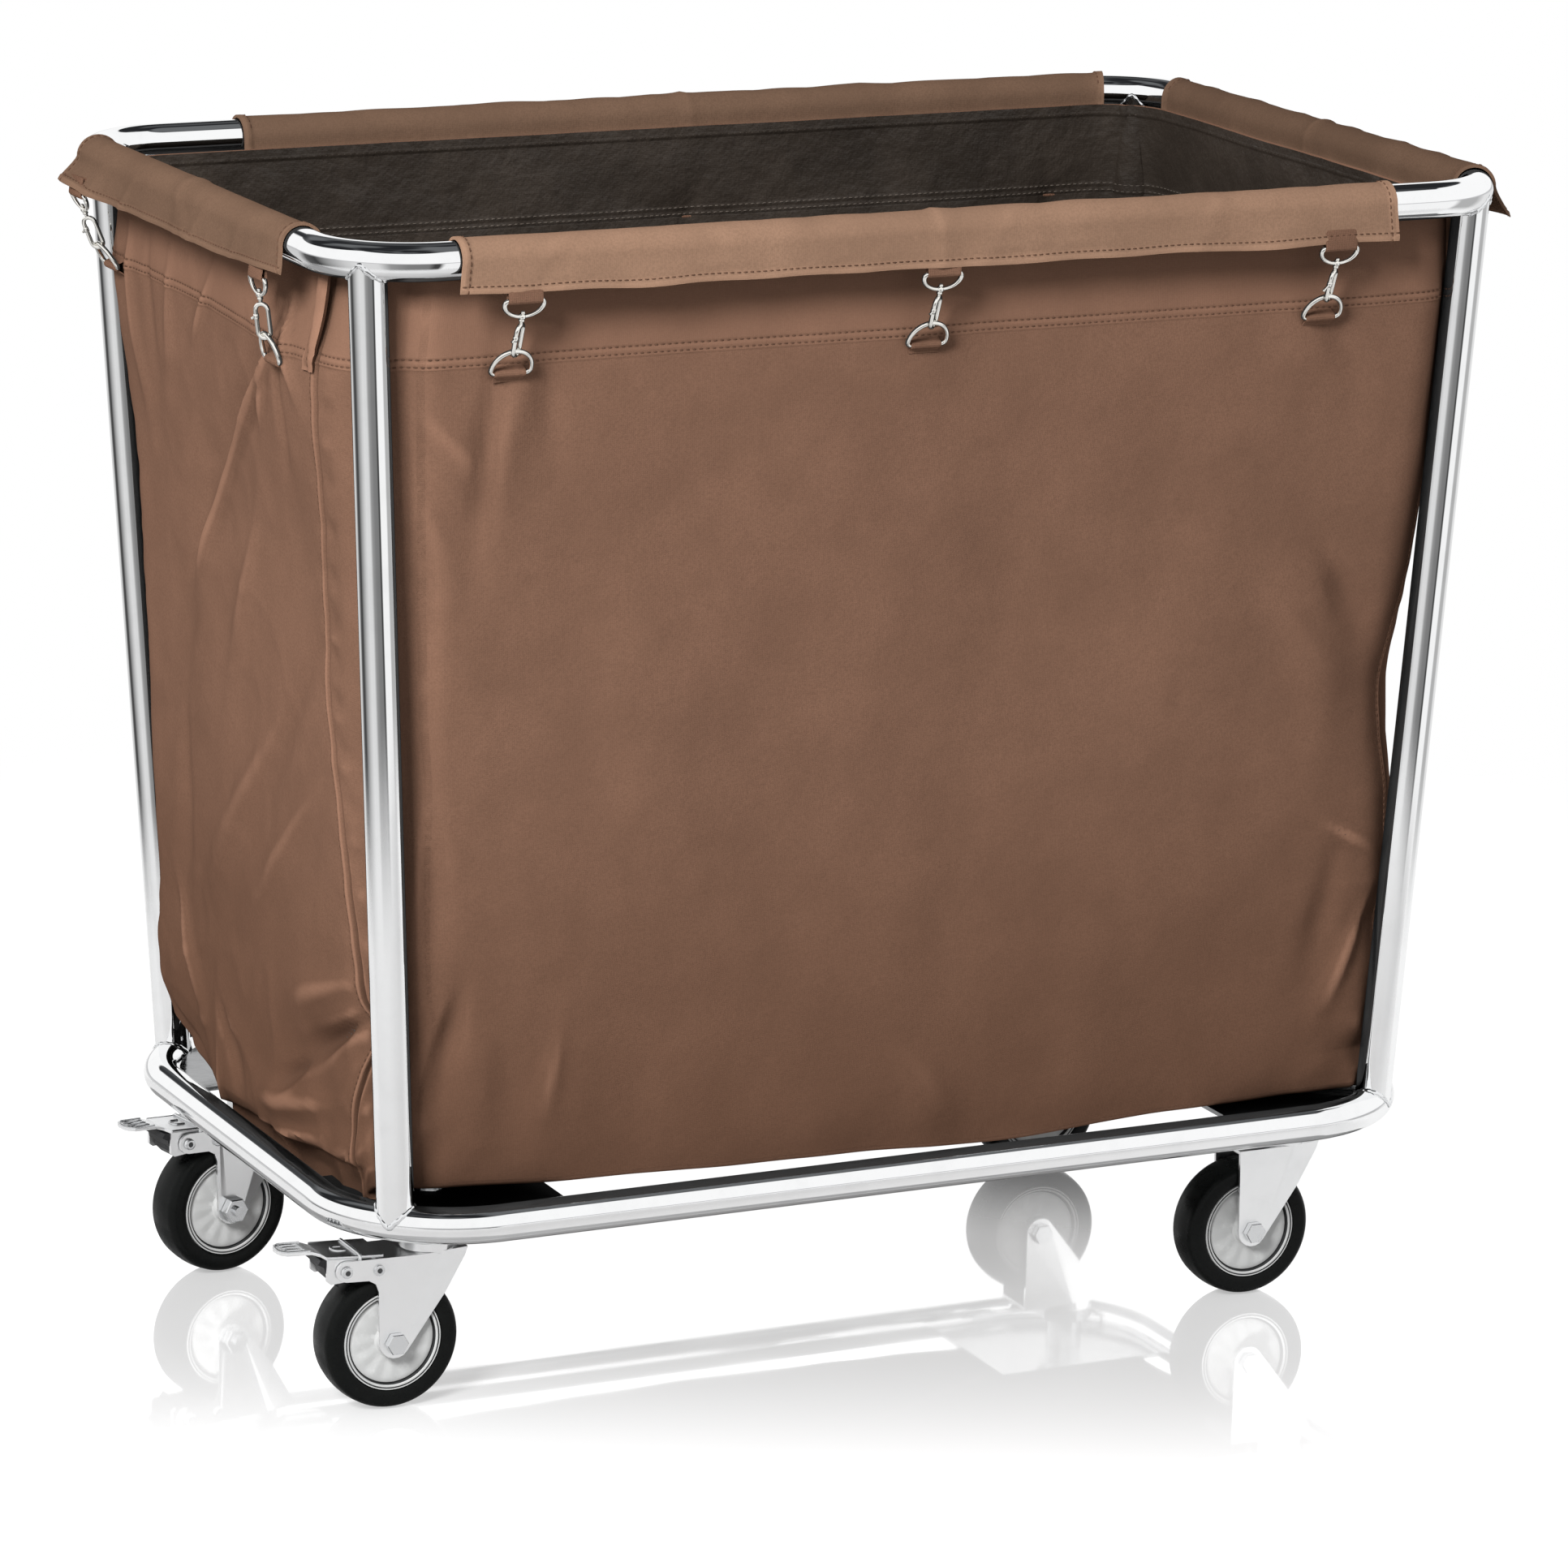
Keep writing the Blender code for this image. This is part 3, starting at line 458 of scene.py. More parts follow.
def floor_look():
    """A pale floor, lit from within to stay white, with a mirror that fades towards the camera.

    The floor itself fades into the backdrop at its rim.
    """
    look = Look("pale_floor")
    place = look.coords.outputs["Object"]
    light = look.node("ShaderNodeLightPath")
    glow = look.math("MULTIPLY_ADD", light.outputs["Is Diffuse Ray"], -0.76, 0.92)
    glow = look.math("MULTIPLY_ADD", light.outputs["Is Glossy Ray"], -0.90, glow)
    look.set(Base_Color=(0.52, 0.52, 0.52, 1.0), Roughness=0.8, Emission_Color=(1.0, 1.0, 1.0, 1.0),
             Emission_Strength=glow)
    look.set(Specular_IOR_Level=0.0)
    polish = look.range(look.noise(6.0, 3.0), 0.3, 0.7, 0.02, 0.05)
    shine = look.node("ShaderNodeBsdfGlossy", {"Color": (1.0, 1.0, 1.0, 1.0), "Roughness": polish})
    split = look.node("ShaderNodeSeparateXYZ", {0: place})
    far_right = look.math("ADD", split.outputs["X"], split.outputs["Y"])
    facing = look.node("ShaderNodeLayerWeight", {"Blend": 0.5}).outputs["Facing"]
    steep = look.math("MULTIPLY", look.range(facing, 0.30, 0.60, 0.85, 0.0), light.outputs["Is Camera Ray"])
    mirror = look.math("MULTIPLY", look.range(far_right, 0.18, 0.46, 0.53, 0.86),
                       look.math("SUBTRACT", 1.0, steep))
    depth = look.math("MULTIPLY_ADD", split.outputs["X"], 0.425,
                      look.math("MULTIPLY", split.outputs["Y"], 0.905))
    mirror = look.math("MULTIPLY", mirror, look.range(depth, -0.66, -0.16, 0.22, 1.0))
    wet = look.node("ShaderNodeMixShader", {0: mirror})
    look.put(wet.inputs[1], look.shader.outputs["BSDF"])
    look.put(wet.inputs[2], shine.outputs["BSDF"])
    distance = look.node("ShaderNodeVectorMath", {0: place}, operation="LENGTH").outputs["Value"]
    clear = look.node("ShaderNodeBsdfTransparent")
    blend = look.node("ShaderNodeMixShader", {0: look.range(distance, *FLOOR_FADE, 0.0, 1.0)})
    look.put(blend.inputs[1], wet.outputs["Shader"])
    look.put(blend.inputs[2], clear.outputs["BSDF"])
    look.put(look.tree.nodes["Material Output"].inputs["Surface"], blend.outputs["Shader"])
    return look.material


def make_looks():
    """Every material of the trolley."""
    brown, painted_reflection_grey = (0.186, 0.101, 0.0670), (0.035, 0.035, 0.035, 1.0)
    flap_brown = (0.191, 0.115, 0.0765)
    # painted light: each flap's copy of the cloth is made paler or darker by how light falls on its side
    looks = {f"flap_{side}": cloth(f"{side}_flap_cloth_painted_light", flap_brown, shade, mirror=painted_reflection_grey, fold_light_paint=0.30)
             for side, shade in (("front", 1.34), ("left", 0.80), ("back", 0.78), ("right", 0.60))}
    looks.update({
        "chrome": metal("bright_chrome", (0.95, 0.955, 0.96, 1.0), 0.012, 0.022, 400.0),
        # painted reflection: the gussets' chrome is painted dark for the dark bag it mirrors
        "plate": metal("chrome_plate_painted_dark", (0.26, 0.265, 0.27, 1.0), 0.10, 0.08, 300.0, 0.0002),
        "weld": metal("plated_weld", (0.84, 0.85, 0.86, 1.0), 0.07, 0.08, 500.0, 0.0004),
        "zinc": metal("zinc_plate", (0.93, 0.935, 0.94, 1.0), 0.27, 0.03, 90.0),
        "bolt": metal("zinc_bolt", (0.74, 0.75, 0.76, 1.0), 0.14, 0.12, 700.0, 0.0001),
        "nickel": metal("nickel_plate", (0.94, 0.92, 0.87, 1.0), 0.05, 0.05, 500.0),
        "brown": cloth("brown_cloth_painted_light", brown, mirror=painted_reflection_grey, shade_paint=0.50, fold_light_paint=0.42),
        "lining": cloth("coated_lining", (0.034, 0.0265, 0.021), 1.0, 0.30, 0.42, gloss=0.30,
                        crumple=0.016),
        "web": cloth("brown_webbing", brown, 0.98, 0.20, 0.66, 0.0003),
        "thread": cloth("brown_thread", brown, 0.60, 0.30),
        "dark_thread": cloth("dark_thread", (0.110, 0.092, 0.078), 1.0, 0.30),
        "rubber": moulded("black_rubber", (0.0040, 0.0044, 0.0042, 1.0), 0.31, 700.0, 0.00006,
                          (0.008, 0.009, 0.008, 1.0), 0.09),
        "grey": moulded("grey_hub_plastic", (0.51, 0.515, 0.51, 1.0), 0.46),
        # painted shade: the hub's groove floors and the rivets' hollows are painted near-black
        "groove": moulded("painted_shade_plastic", (0.040, 0.041, 0.042, 1.0), 0.5),
        "black": moulded("black_plastic", (0.012, 0.012, 0.013, 1.0), 0.34),
    })
    return looks


# ---------------------------------------------------------------- frame

def frame_tubes(looks):
    """The rim and the base ring, rounder than their CAD solids."""
    up = (0.0, 0.0, 1.0)
    for name, half_x, half_y, bend_r, height in (("top_rim", RIM_X, RIM_Y, RIM_BEND_R, RIM_Z),
                                                 ("base_ring", BASE_X, BASE_Y, BASE_BEND_R, BASE_Z)):
        path = rounded_loop(half_x, half_y, bend_r, height, 24, 0.06)
        ring = piece(f"{name}_tube", tube_mesh(name, path, TUBE_R, 48, True, up), "frame",
                     [looks["chrome"]], 60)
        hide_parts(name)


def ring_gap(point, half_x, half_y, bend_r, height):
    """Distance from points near a corner to the centre line of a bent ring."""
    across = np.hypot(np.abs(point[:, 0]) - (half_x - bend_r), np.abs(point[:, 1]) - (half_y - bend_r))
    return np.hypot(across - bend_r, point[:, 2] - height)


def coped(start, direction, ring):
    """Where lines from inside a ring's tube leave its surface."""
    near, far = np.zeros(len(start)), np.full(len(start), 4 * TUBE_R)
    for _ in range(30):
        middle = (near + far) / 2
        inside = ring_gap(start + direction * middle[:, None], *ring) < TUBE_R
        near, far = np.where(inside, middle, near), np.where(inside, far, middle)
    return start + direction * far[:, None]


def post_axis(sign_x, sign_y):
    """A post's centre line, from the middle of a base bend to the middle of a rim bend."""
    ends = []
    for half_x, half_y, bend_r, height in ((BASE_X, BASE_Y, BASE_BEND_R, BASE_Z),
                                           (RIM_X, RIM_Y, RIM_BEND_R, RIM_Z)):
        inset = bend_r * (1 - math.cos(math.pi / 4))
        ends.append(np.array((sign_x * (half_x - inset), sign_y * (half_y - inset), height)))
    return ends


def posts_and_welds(looks):
    """Each post with its ends coped to the rings, and a rippled weld bead round each end."""
    rings = ((BASE_X, BASE_Y, BASE_BEND_R, BASE_Z), (RIM_X, RIM_Y, RIM_BEND_R, RIM_Z))
    for corner, (sign_x, sign_y) in CORNERS.items():
        bottom, top = post_axis(sign_x, sign_y)
        up = unit(top - bottom)
        side = unit(np.cross(up, (0.0, 1.0, 0.0)))
        other = np.cross(up, side)
        angles = 2 * np.pi * np.arange(48) / 48
        offset = TUBE_R * (np.cos(angles)[:, None] * side + np.sin(angles)[:, None] * other)
        low, high = coped(bottom + offset, up, rings[0]), coped(top + offset, -up, rings[1])
        steps = np.linspace(0, 1, 9)[:, None, None]
        wall = low * (1 - steps) + high * steps
        faces = grid_faces(9, 48, wrap=True)
        faces += [tuple(range(47, -1, -1)), tuple(8 * 48 + k for k in range(48))]
        bar = piece(f"post_{corner}_tube", mesh_from("post", wall, faces), "frame",
                    [looks["chrome"]], 60)
        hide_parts(f"post_{corner}")
        beads = []
        for number, (end, away) in enumerate(((low, -up), (high, up))):
            fine = np.linspace(0, 48, 192, endpoint=False)
            ring = np.append(end, end[:1], 0)
            loop = np.stack([np.interp(fine, np.arange(49), ring[:, k]) for k in range(3)], 1)
            outward = unit(loop - (bottom + up * ((loop - bottom) @ up)[:, None]))
            turns = 2 * np.pi * np.arange(192) / 192
            for _ in range(12):
                loop = (np.roll(loop, 1, 0) + loop * 2 + np.roll(loop, -1, 0)) / 4
            lumps = 1 + 0.10 * np.sin(17 * turns + sign_x + 2 * number)
            lumps = lumps + 0.22 * np.sin(3 * turns + 2.0 * sign_y)
            spots = loop - outward * 0.0003 + away * 0.0003
            beads.append(tube_mesh("bead", spots, WELD_R * lumps, 10, True))
        piece(f"weld_beads_{corner}", merged("weld_beads", beads), "frame",
              [looks["weld"]], 60)


def corner_plates(looks):
    """The CAD gussets stay, with softened edges, their chrome painted dark to stand for the dark bag it
    reflects.
    """
    for corner in CORNERS:
        node = frame["nodes"][f"corner_plate_{corner}"]
        soften(node, 0.0006)
        paint(node, looks["plate"])


def soften(item, width, angle=35):
    """Round an object's sharp edges."""
    edge = item.modifiers.new("edges", "BEVEL")
    edge.width, edge.segments, edge.limit_method = width, 2, "ANGLE"
    edge.angle_limit = math.radians(angle)


def paint(item, material):
    """Give an object one material."""
    if not item.material_slots:
        item.data.materials.append(material)
    for slot in item.material_slots:
        slot.link = "OBJECT"
        slot.material = material


# ---------------------------------------------------------------- bag

# Corner seams: where each starts from, and its drift along s at a few heights
SEAMS = (
    (S_LEFT + SHORT - 0.012,
     ((0.176, 0.006), (0.198, 0.015), (0.225, 0.028), (0.252, 0.041), (0.272, 0.053), (0.288, 0.050),
      (0.302, 0.038), (0.388, 0.020), (0.433, 0.010), (0.506, -0.011), (0.596, -0.019), (0.690, -0.005),
      (0.745, 0.0), (0.803, 0.006))),
    (LONG + 0.046, ((0.2, -0.010), (0.45, -0.014), (0.56, -0.004), (0.65, 0.0))),
    (S_RIGHT + SHORT + 0.040, ((0.2, 0.008), (0.65, 0.0))),
    (S_BACK + LONG + 0.040, ((0.2, -0.008), (0.65, 0.0))),
)

# Where the clips pull the cloth out: side, place, height, rise, reach along, reach up and down
PULLS = [("left", -0.1410, 0.738, 0.0120, 0.075, 0.030, 0.085),
         ("left", 0.2000, 0.740, 0.0030, 0.040, 0.025, 0.060)]
PULLS += [("front", place, 0.739, 0.0040, 0.030, 0.020, 0.045) for place in (-0.319, -0.013, 0.293)]
PULLS += [("back", place, 0.739, 0.0040, 0.030, 0.020, 0.045) for place in (-0.266, 0.040, 0.346)]
PULLS += [("right", place, 0.739, -0.0014, 0.030, 0.020, 0.045) for place in (-0.169, 0.161)]

# Soft folds of the cloth: side, place and height of each end, half width, rise (negative for a hollow)
FOLDS = (
    ("left", -0.112, 0.735, 0.022, 0.622, 0.0058, 0.0056),
    ("left", -0.010, 0.648, 0.128, 0.494, 0.0085, 0.0048),
    ("left", -0.080, 0.735, 0.110, 0.560, 0.0180, -0.0034),
    ("left", -0.106, 0.728, -0.072, 0.668, 0.0046, 0.0036),
    ("left", -0.139, 0.770, -0.169, 0.708, 0.0056, 0.0040),
    ("left", -0.128, 0.735, -0.118, 0.640, 0.0075, -0.0030),
    ("left", 0.024, 0.765, 0.076, 0.690, 0.0066, 0.0024),
    ("left", 0.186, 0.765, 0.171, 0.620, 0.0075, 0.0028),
    ("left", 0.103, 0.760, 0.119, 0.660, 0.0080, 0.0020),
    ("left", 0.148, 0.760, 0.146, 0.640, 0.0090, -0.0018),
    ("left", 0.060, 0.600, 0.150, 0.440, 0.0160, -0.0032),
    ("left", -0.042, 0.600, 0.030, 0.440, 0.0130, 0.0032),
    ("left", -0.145, 0.520, 0.010, 0.365, 0.0200, -0.0046),
    ("left", -0.070, 0.460, 0.108, 0.285, 0.0170, 0.0054),
    ("left", -0.140, 0.420, 0.028, 0.280, 0.0150, 0.0036),
    ("left", 0.130, 0.420, 0.160, 0.260, 0.0160, -0.0034),
    ("left", 0.158, 0.290, 0.090, 0.205, 0.0090, 0.0044),
    ("left", -0.220, 0.282, -0.080, 0.232, 0.0085, -0.0088),
    ("left", -0.120, 0.240, -0.060, 0.214, 0.0065, -0.0044),
    ("left", -0.205, 0.308, -0.070, 0.268, 0.0130, 0.0052),
    ("left", -0.150, 0.222, 0.030, 0.196, 0.0100, 0.0060),
    ("left", -0.135, 0.200, 0.020, 0.174, 0.0055, 0.0030),
    ("left", 0.060, 0.240, 0.010, 0.190, 0.0080, -0.0034),
    ("front", -0.330, 0.735, -0.352, 0.560, 0.0090, -0.0040),
    ("front", -0.308, 0.738, -0.345, 0.610, 0.0140, 0.0026),
    ("front", -0.290, 0.738, -0.285, 0.650, 0.0100, -0.0022),
    ("front", -0.370, 0.705, -0.330, 0.655, 0.0100, 0.0036),
    ("front", -0.375, 0.660, -0.340, 0.600, 0.0120, -0.0030),
    ("front", -0.345, 0.300, -0.362, 0.215, 0.0100, -0.0056),
    ("front", -0.372, 0.420, -0.360, 0.300, 0.0110, -0.0044),
    ("front", -0.268, 0.265, -0.280, 0.190, 0.0080, 0.0030),
    ("front", -0.310, 0.260, -0.300, 0.180, 0.0160, -0.0030),
    ("front", -0.240, 0.600, -0.180, 0.300, 0.0500, 0.0034),
    ("front", 0.060, 0.650, 0.120, 0.320, 0.0600, -0.0030),
    ("front", 0.240, 0.600, 0.190, 0.330, 0.0450, 0.0030),
    ("front", 0.330, 0.560, 0.385, 0.480, 0.0140, -0.0060),
    ("front", 0.300, 0.520, 0.370, 0.440, 0.0180, 0.0036),
    ("front", 0.345, 0.362, 0.395, 0.335, 0.0060, 0.0046),
    ("front", 0.378, 0.290, 0.342, 0.215, 0.0060, 0.0052),
    ("front", 0.350, 0.330, 0.330, 0.220, 0.0140, -0.0040),
    ("front", 0.300, 0.738, 0.380, 0.640, 0.0120, -0.0036),
    ("front", 0.330, 0.700, 0.395, 0.620, 0.0140, 0.0030),
    ("front", 0.005, 0.230, 0.060, 0.165, 0.0160, 0.0030),
    ("right", -0.140, 0.715, -0.060, 0.480, 0.0110, 0.0060),
    ("right", 0.128, 0.700, 0.030, 0.480, 0.0120, 0.0060),
    ("right", 0.020, 0.520, -0.080, 0.230, 0.0260, 0.0056),
    ("right", 0.120, 0.460, 0.140, 0.210, 0.0220, -0.0046),
    ("right", -0.170, 0.300, -0.020, 0.240, 0.0120, -0.0070),
    ("back", -0.266, 0.735, -0.200, 0.560, 0.0110, 0.0046),
    ("back", 0.040, 0.735, 0.000, 0.540, 0.0110, 0.0042),
    ("back", 0.346, 0.735, 0.370, 0.560, 0.0110, 0.0046),
    ("back", -0.120, 0.520, 0.020, 0.240, 0.0400, 0.0042),
    ("back", 0.220, 0.480, 0.160, 0.220, 0.0360, -0.0040),
    ("back", 0.340, 0.300, 0.230, 0.220, 0.0130, 0.0060),
)


def along_bag(side, place):
    """Length round the bag of a place on one side: x on the front and back, y on the ends."""
    middle, sign = MIDDLES[side]
    return middle + sign * place


def level(height):
    """Half sizes and corner radius of the bag at each height."""
    return [np.interp(height, BAG_LEVELS[:, 0], BAG_LEVELS[:, k]) for k in (1, 2, 3)]


def outline(s, height):
    """Points on the bag's plain outline and their outward directions."""
    half_x, half_y, corner = level(height)
    s = np.mod(s, ROUND) + 0 * height
    x, y, nx, ny = (np.zeros(s.shape) for _ in range(4))
    start = 0.0
    sides = ((0, LONG, (1, 0), (0, -1)), (1, SHORT, (0, 1), (1, 0)), (2, LONG, (-1, 0), (0, 1)),
             (3, SHORT, (0, -1), (-1, 0)))
    for number, length, ahead, out in sides:
        flat = (s >= start) & (s < start + length)
        share = ((s - start) / length * 2 - 1)
        half = (half_x if number % 2 == 0 else half_y) - corner
        reach = half_y if number % 2 == 0 else half_x
        x = np.where(flat, ahead[0] * share * half + out[0] * reach, x)
        y = np.where(flat, ahead[1] * share * half + out[1] * reach, y)
        nx, ny = np.where(flat, out[0], nx), np.where(flat, out[1], ny)
        start += length
        bend = (s >= start) & (s < start + ARC)
        angle = math.radians(-90 + 90 * number) + (s - start) / ARC * math.pi / 2
        centre_x = (half_x - corner) * (1 if number in (0, 1) else -1)
        centre_y = (half_y - corner) * (1 if number in (1, 2) else -1)
        x = np.where(bend, centre_x + corner * np.cos(angle), x)
        y = np.where(bend, centre_y + corner * np.sin(angle), y)
        nx, ny = np.where(bend, np.cos(angle), nx), np.where(bend, np.sin(angle), ny)
        start += ARC
    return x, y, nx, ny


def round_gap(s, centre):
    """Signed distance round the bag from a centre."""
    return np.mod(s - centre + ROUND / 2, ROUND) - ROUND / 2


def seam_drift(knots, height):
    """How far a corner seam has moved along s at each height."""
    heights, drifts = zip(*knots)
    return np.interp(height, heights, drifts)


def swell(sewn, s, height, x, y):
    """How far the bag's outer face stands out from its plain outline; sewn is s before the seams' drift."""
    out = np.zeros(s.shape)
    # each side bellies out between the band and the floor
    fall = np.sin(np.pi * np.clip((BAND_Z - height) / (BAND_Z - BAG_LOW.z), 0, 1)) ** 0.8
    for side, half, depth in (("front", LONG / 2, 0.0030), ("back", LONG / 2, 0.0030),
                              ("right", SHORT / 2, 0.0045), ("left", SHORT / 2, 0.0045)):
        share = np.clip(1 - (round_gap(s, MIDDLES[side][0]) / (half * 1.1)) ** 2, 0, 1)
        out += depth * share * fall
    for side, a0, z0, a1, z1, width, rise in FOLDS:
        s0, s1 = along_bag(side, a0), along_bag(side, a1)
        length = math.hypot(s1 - s0, z1 - z0)
        ds, dz = (s1 - s0) / length, (z1 - z0) / length
        across = round_gap(s, s0) * -dz + (height - z0) * ds
        down = np.clip((round_gap(s, s0) * ds + (height - z0) * dz) / length, -1, 2)
        fade = np.exp(-((down - 0.38) / 0.42) ** 2)
        spread = width * (0.6 + 0.9 * np.clip(down, 0, 1.3))
        strength = 1.6 if side == "left" else 1.2
        out += strength * rise * fade * np.exp(-(across / spread) ** 2)
    for side, place, z0, rise, reach, above, below in PULLS:
        lift = np.where(height > z0, (height - z0) / above, (height - z0) / below)
        out += rise * np.exp(-(round_gap(s, along_bag(side, place)) / reach) ** 2 - lift ** 2)
    # the right end's front corner, and the foot of the left end tucked in behind the base ring
    near_right = step_up(s, LONG - 0.05, LONG + 0.03) * step_up(S_RIGHT + 0.12 - s, 0.0, 0.1)
    out += np.interp(height, RIGHT_OUT[:, 0], RIGHT_OUT[:, 1]) * near_right
    near_left = step_up(s, S_LEFT - 0.03, S_LEFT + 0.05) * step_up(ROUND - 0.02 - s, 0.0, 0.05)
    tucked = step_up(0.196 - height, 0.0, 0.022) * near_left
    out -= 0.0050 * tucked
    # broad and fine rumples, deeper on the ends and near the floor
    space = np.stack([x, y, height * 0.45], -1)
    ends = sum(bump(round_gap(s, start + SHORT / 2), 0, 0.22) for start in (S_LEFT, S_RIGHT))
    low = step_up(0.34 - height, 0.0, 0.18)
    out += ripple(space, 9.0, 3.1) * (0.0011 + 0.0005 * ends)
    out += ripple(space, 21.0, 7.7) * (0.0004 + 0.0002 * ends + 0.0010 * low)
    out -= 0.0090 * bump(round_gap(s, ROUND - ARC / 2 + 0.021), 0, 0.015)
    # sharp creases low on the ends, and crumpled lower corners
    tight = np.stack([x, y, height], -1)
    sharp = 1 - np.abs(ripple(tight, 17.0, 4.4))
    out += 0.0050 * np.clip(sharp - 0.55, 0, None) * (0.25 * ends + 0.9 * ends * low + 1.3 * tucked)
    corner = sum(bump(round_gap(s, c), 0, 0.075) for c in (LONG + ARC / 2, S_BACK - ARC / 2,
                                                           S_LEFT - ARC / 2, ROUND - ARC / 2))
    out += ripple(tight, 34.0, 1.3) * (0.0002 + 0.0016 * corner * low)
    # the band's extra layer, the rows of stitches pressed into it, and the corner seams
    band = step_up(height, BAND_Z - 0.0008, BAND_Z + 0.0004)
    out += BAND_T * band
    for row in (BAND_Z + BAND_ROWS[0], BAND_Z + BAND_ROWS[1], BAG_HIGH.z - HEM_ROW):
        out -= 0.0005 * bump(height, row, 0.0010)
    for start, knots in SEAMS:
        gap = round_gap(sewn, start)
        ridge = 0.0014 * bump(gap, -0.0015, 0.0024) - 0.0022 * bump(gap, 0.0024, 0.0018)
        waves = np.sin(height * 2 * np.pi / 0.034 + 2 * np.sin(height * 23))
        waves = waves + 0.3 * np.sin(height * 2 * np.pi / 0.0173 + start)
        strong = 1.0 if start > S_LEFT else 0.25
        pucker = strong * (0.0012 * waves * bump(gap, 0.0160, 0.0090) +
                           0.0005 * waves * bump(gap, -0.009, 0.007))
        out += ridge + pucker * (height < BAND_Z)
    return out


def bag_surface(s, height):
    """Points of the bag's outer face at lengths s and heights; both are arrays of one shape."""
    moved = s.copy()
    for start, knots in SEAMS:
        moved += seam_drift(knots, height) * bump(round_gap(s, start), 0, 0.080)
    x, y, nx, ny = outline(moved, height)
    out = swell(s, moved, height, x, y)
    tuck = bump(round_gap(moved, LONG + 0.03), 0, 0.05) * bump(height, 0.465, 0.05)
    lift = bump(round_gap(moved, S_RIGHT + 0.03), 0, 0.05)
    out = out - 0.006 * tuck + 0.004 * lift * bump(height, 0.44, 0.08)
    # the lower edge sags in the middle of the long sides and rises at the back left corner
    low = step_up(0.30 - height, 0.0, 0.14)
    middle = bump(x, 0.04, 0.26) * (np.abs(ny) > 0.5)
    drop = -0.0070 * middle * low + 0.0060 * bump(round_gap(s, ROUND - ARC / 2 + 0.03), 0, 0.09) * low
    drop += 0.034 * bump(round_gap(moved, S_LEFT - ARC / 2), 0, 0.080) * low - 0.001 * low
    along_left = step_up(moved, S_LEFT + 0.05, S_LEFT + 0.12) * step_up(ROUND - 0.05 - moved, 0.0, 0.06)
    drop -= 0.0210 * along_left * low
    drop -= 0.0045 * bump(x, 0.085, 0.060) * (ny < -0.5) * low
    drop -= 0.0040 * bump(round_gap(s, S_LEFT + SHORT * 0.72), 0, 0.14) * bump(height, BAND_Z, 0.09)
    z = height + drop
    # a sharp fold across the foot of the left end
    belly = 0.1705 - 0.085 * (y + 0.06)
    out = out - 0.0080 * step_up(belly - z, 0.0, 0.005) * along_left + 0.0030 * along_left * low
    out += 0.0045 * bump(round_gap(moved, S_LEFT), 0.01, 0.07) * bump(height, 0.22, 0.05)
    x, y = x + nx * out, y + ny * out
    # the cloth keeps clear of the posts
    for signs in CORNERS.values():
        bottom, top = post_axis(*signs)
        share = (z - bottom[2]) / (top[2] - bottom[2])
        post_x, post_y = (bottom[k] + (top[k] - bottom[k]) * share for k in (0, 1))
        gap = np.hypot(x - post_x, y - post_y) + 1e-9
        push = np.clip(TUBE_R + POST_ROOM - gap, 0, None) * (height < BAG_HIGH.z)
        x, y = x + (x - post_x) / gap * push, y + (y - post_y) / gap * push
    return np.stack([x, y, z], -1)


def stations(low, high, coarse, fine_spots):
    """Places from low to high about every coarse step, closer near each (spot, reach, step)."""
    places = list(np.linspace(low, high, max(2, round((high - low) / coarse)) + 1))
    for spot, reach, fine in fine_spots:
        near = [spot + k * fine for k in range(-round(reach / fine), round(reach / fine) + 1)]
        near = [p for p in near if low <= p <= high]
        places = [p for p in places if min(abs(p - q) for q in near) > fine * 0.9] + near
    return np.array(sorted(set(round(p, 6) for p in places)))


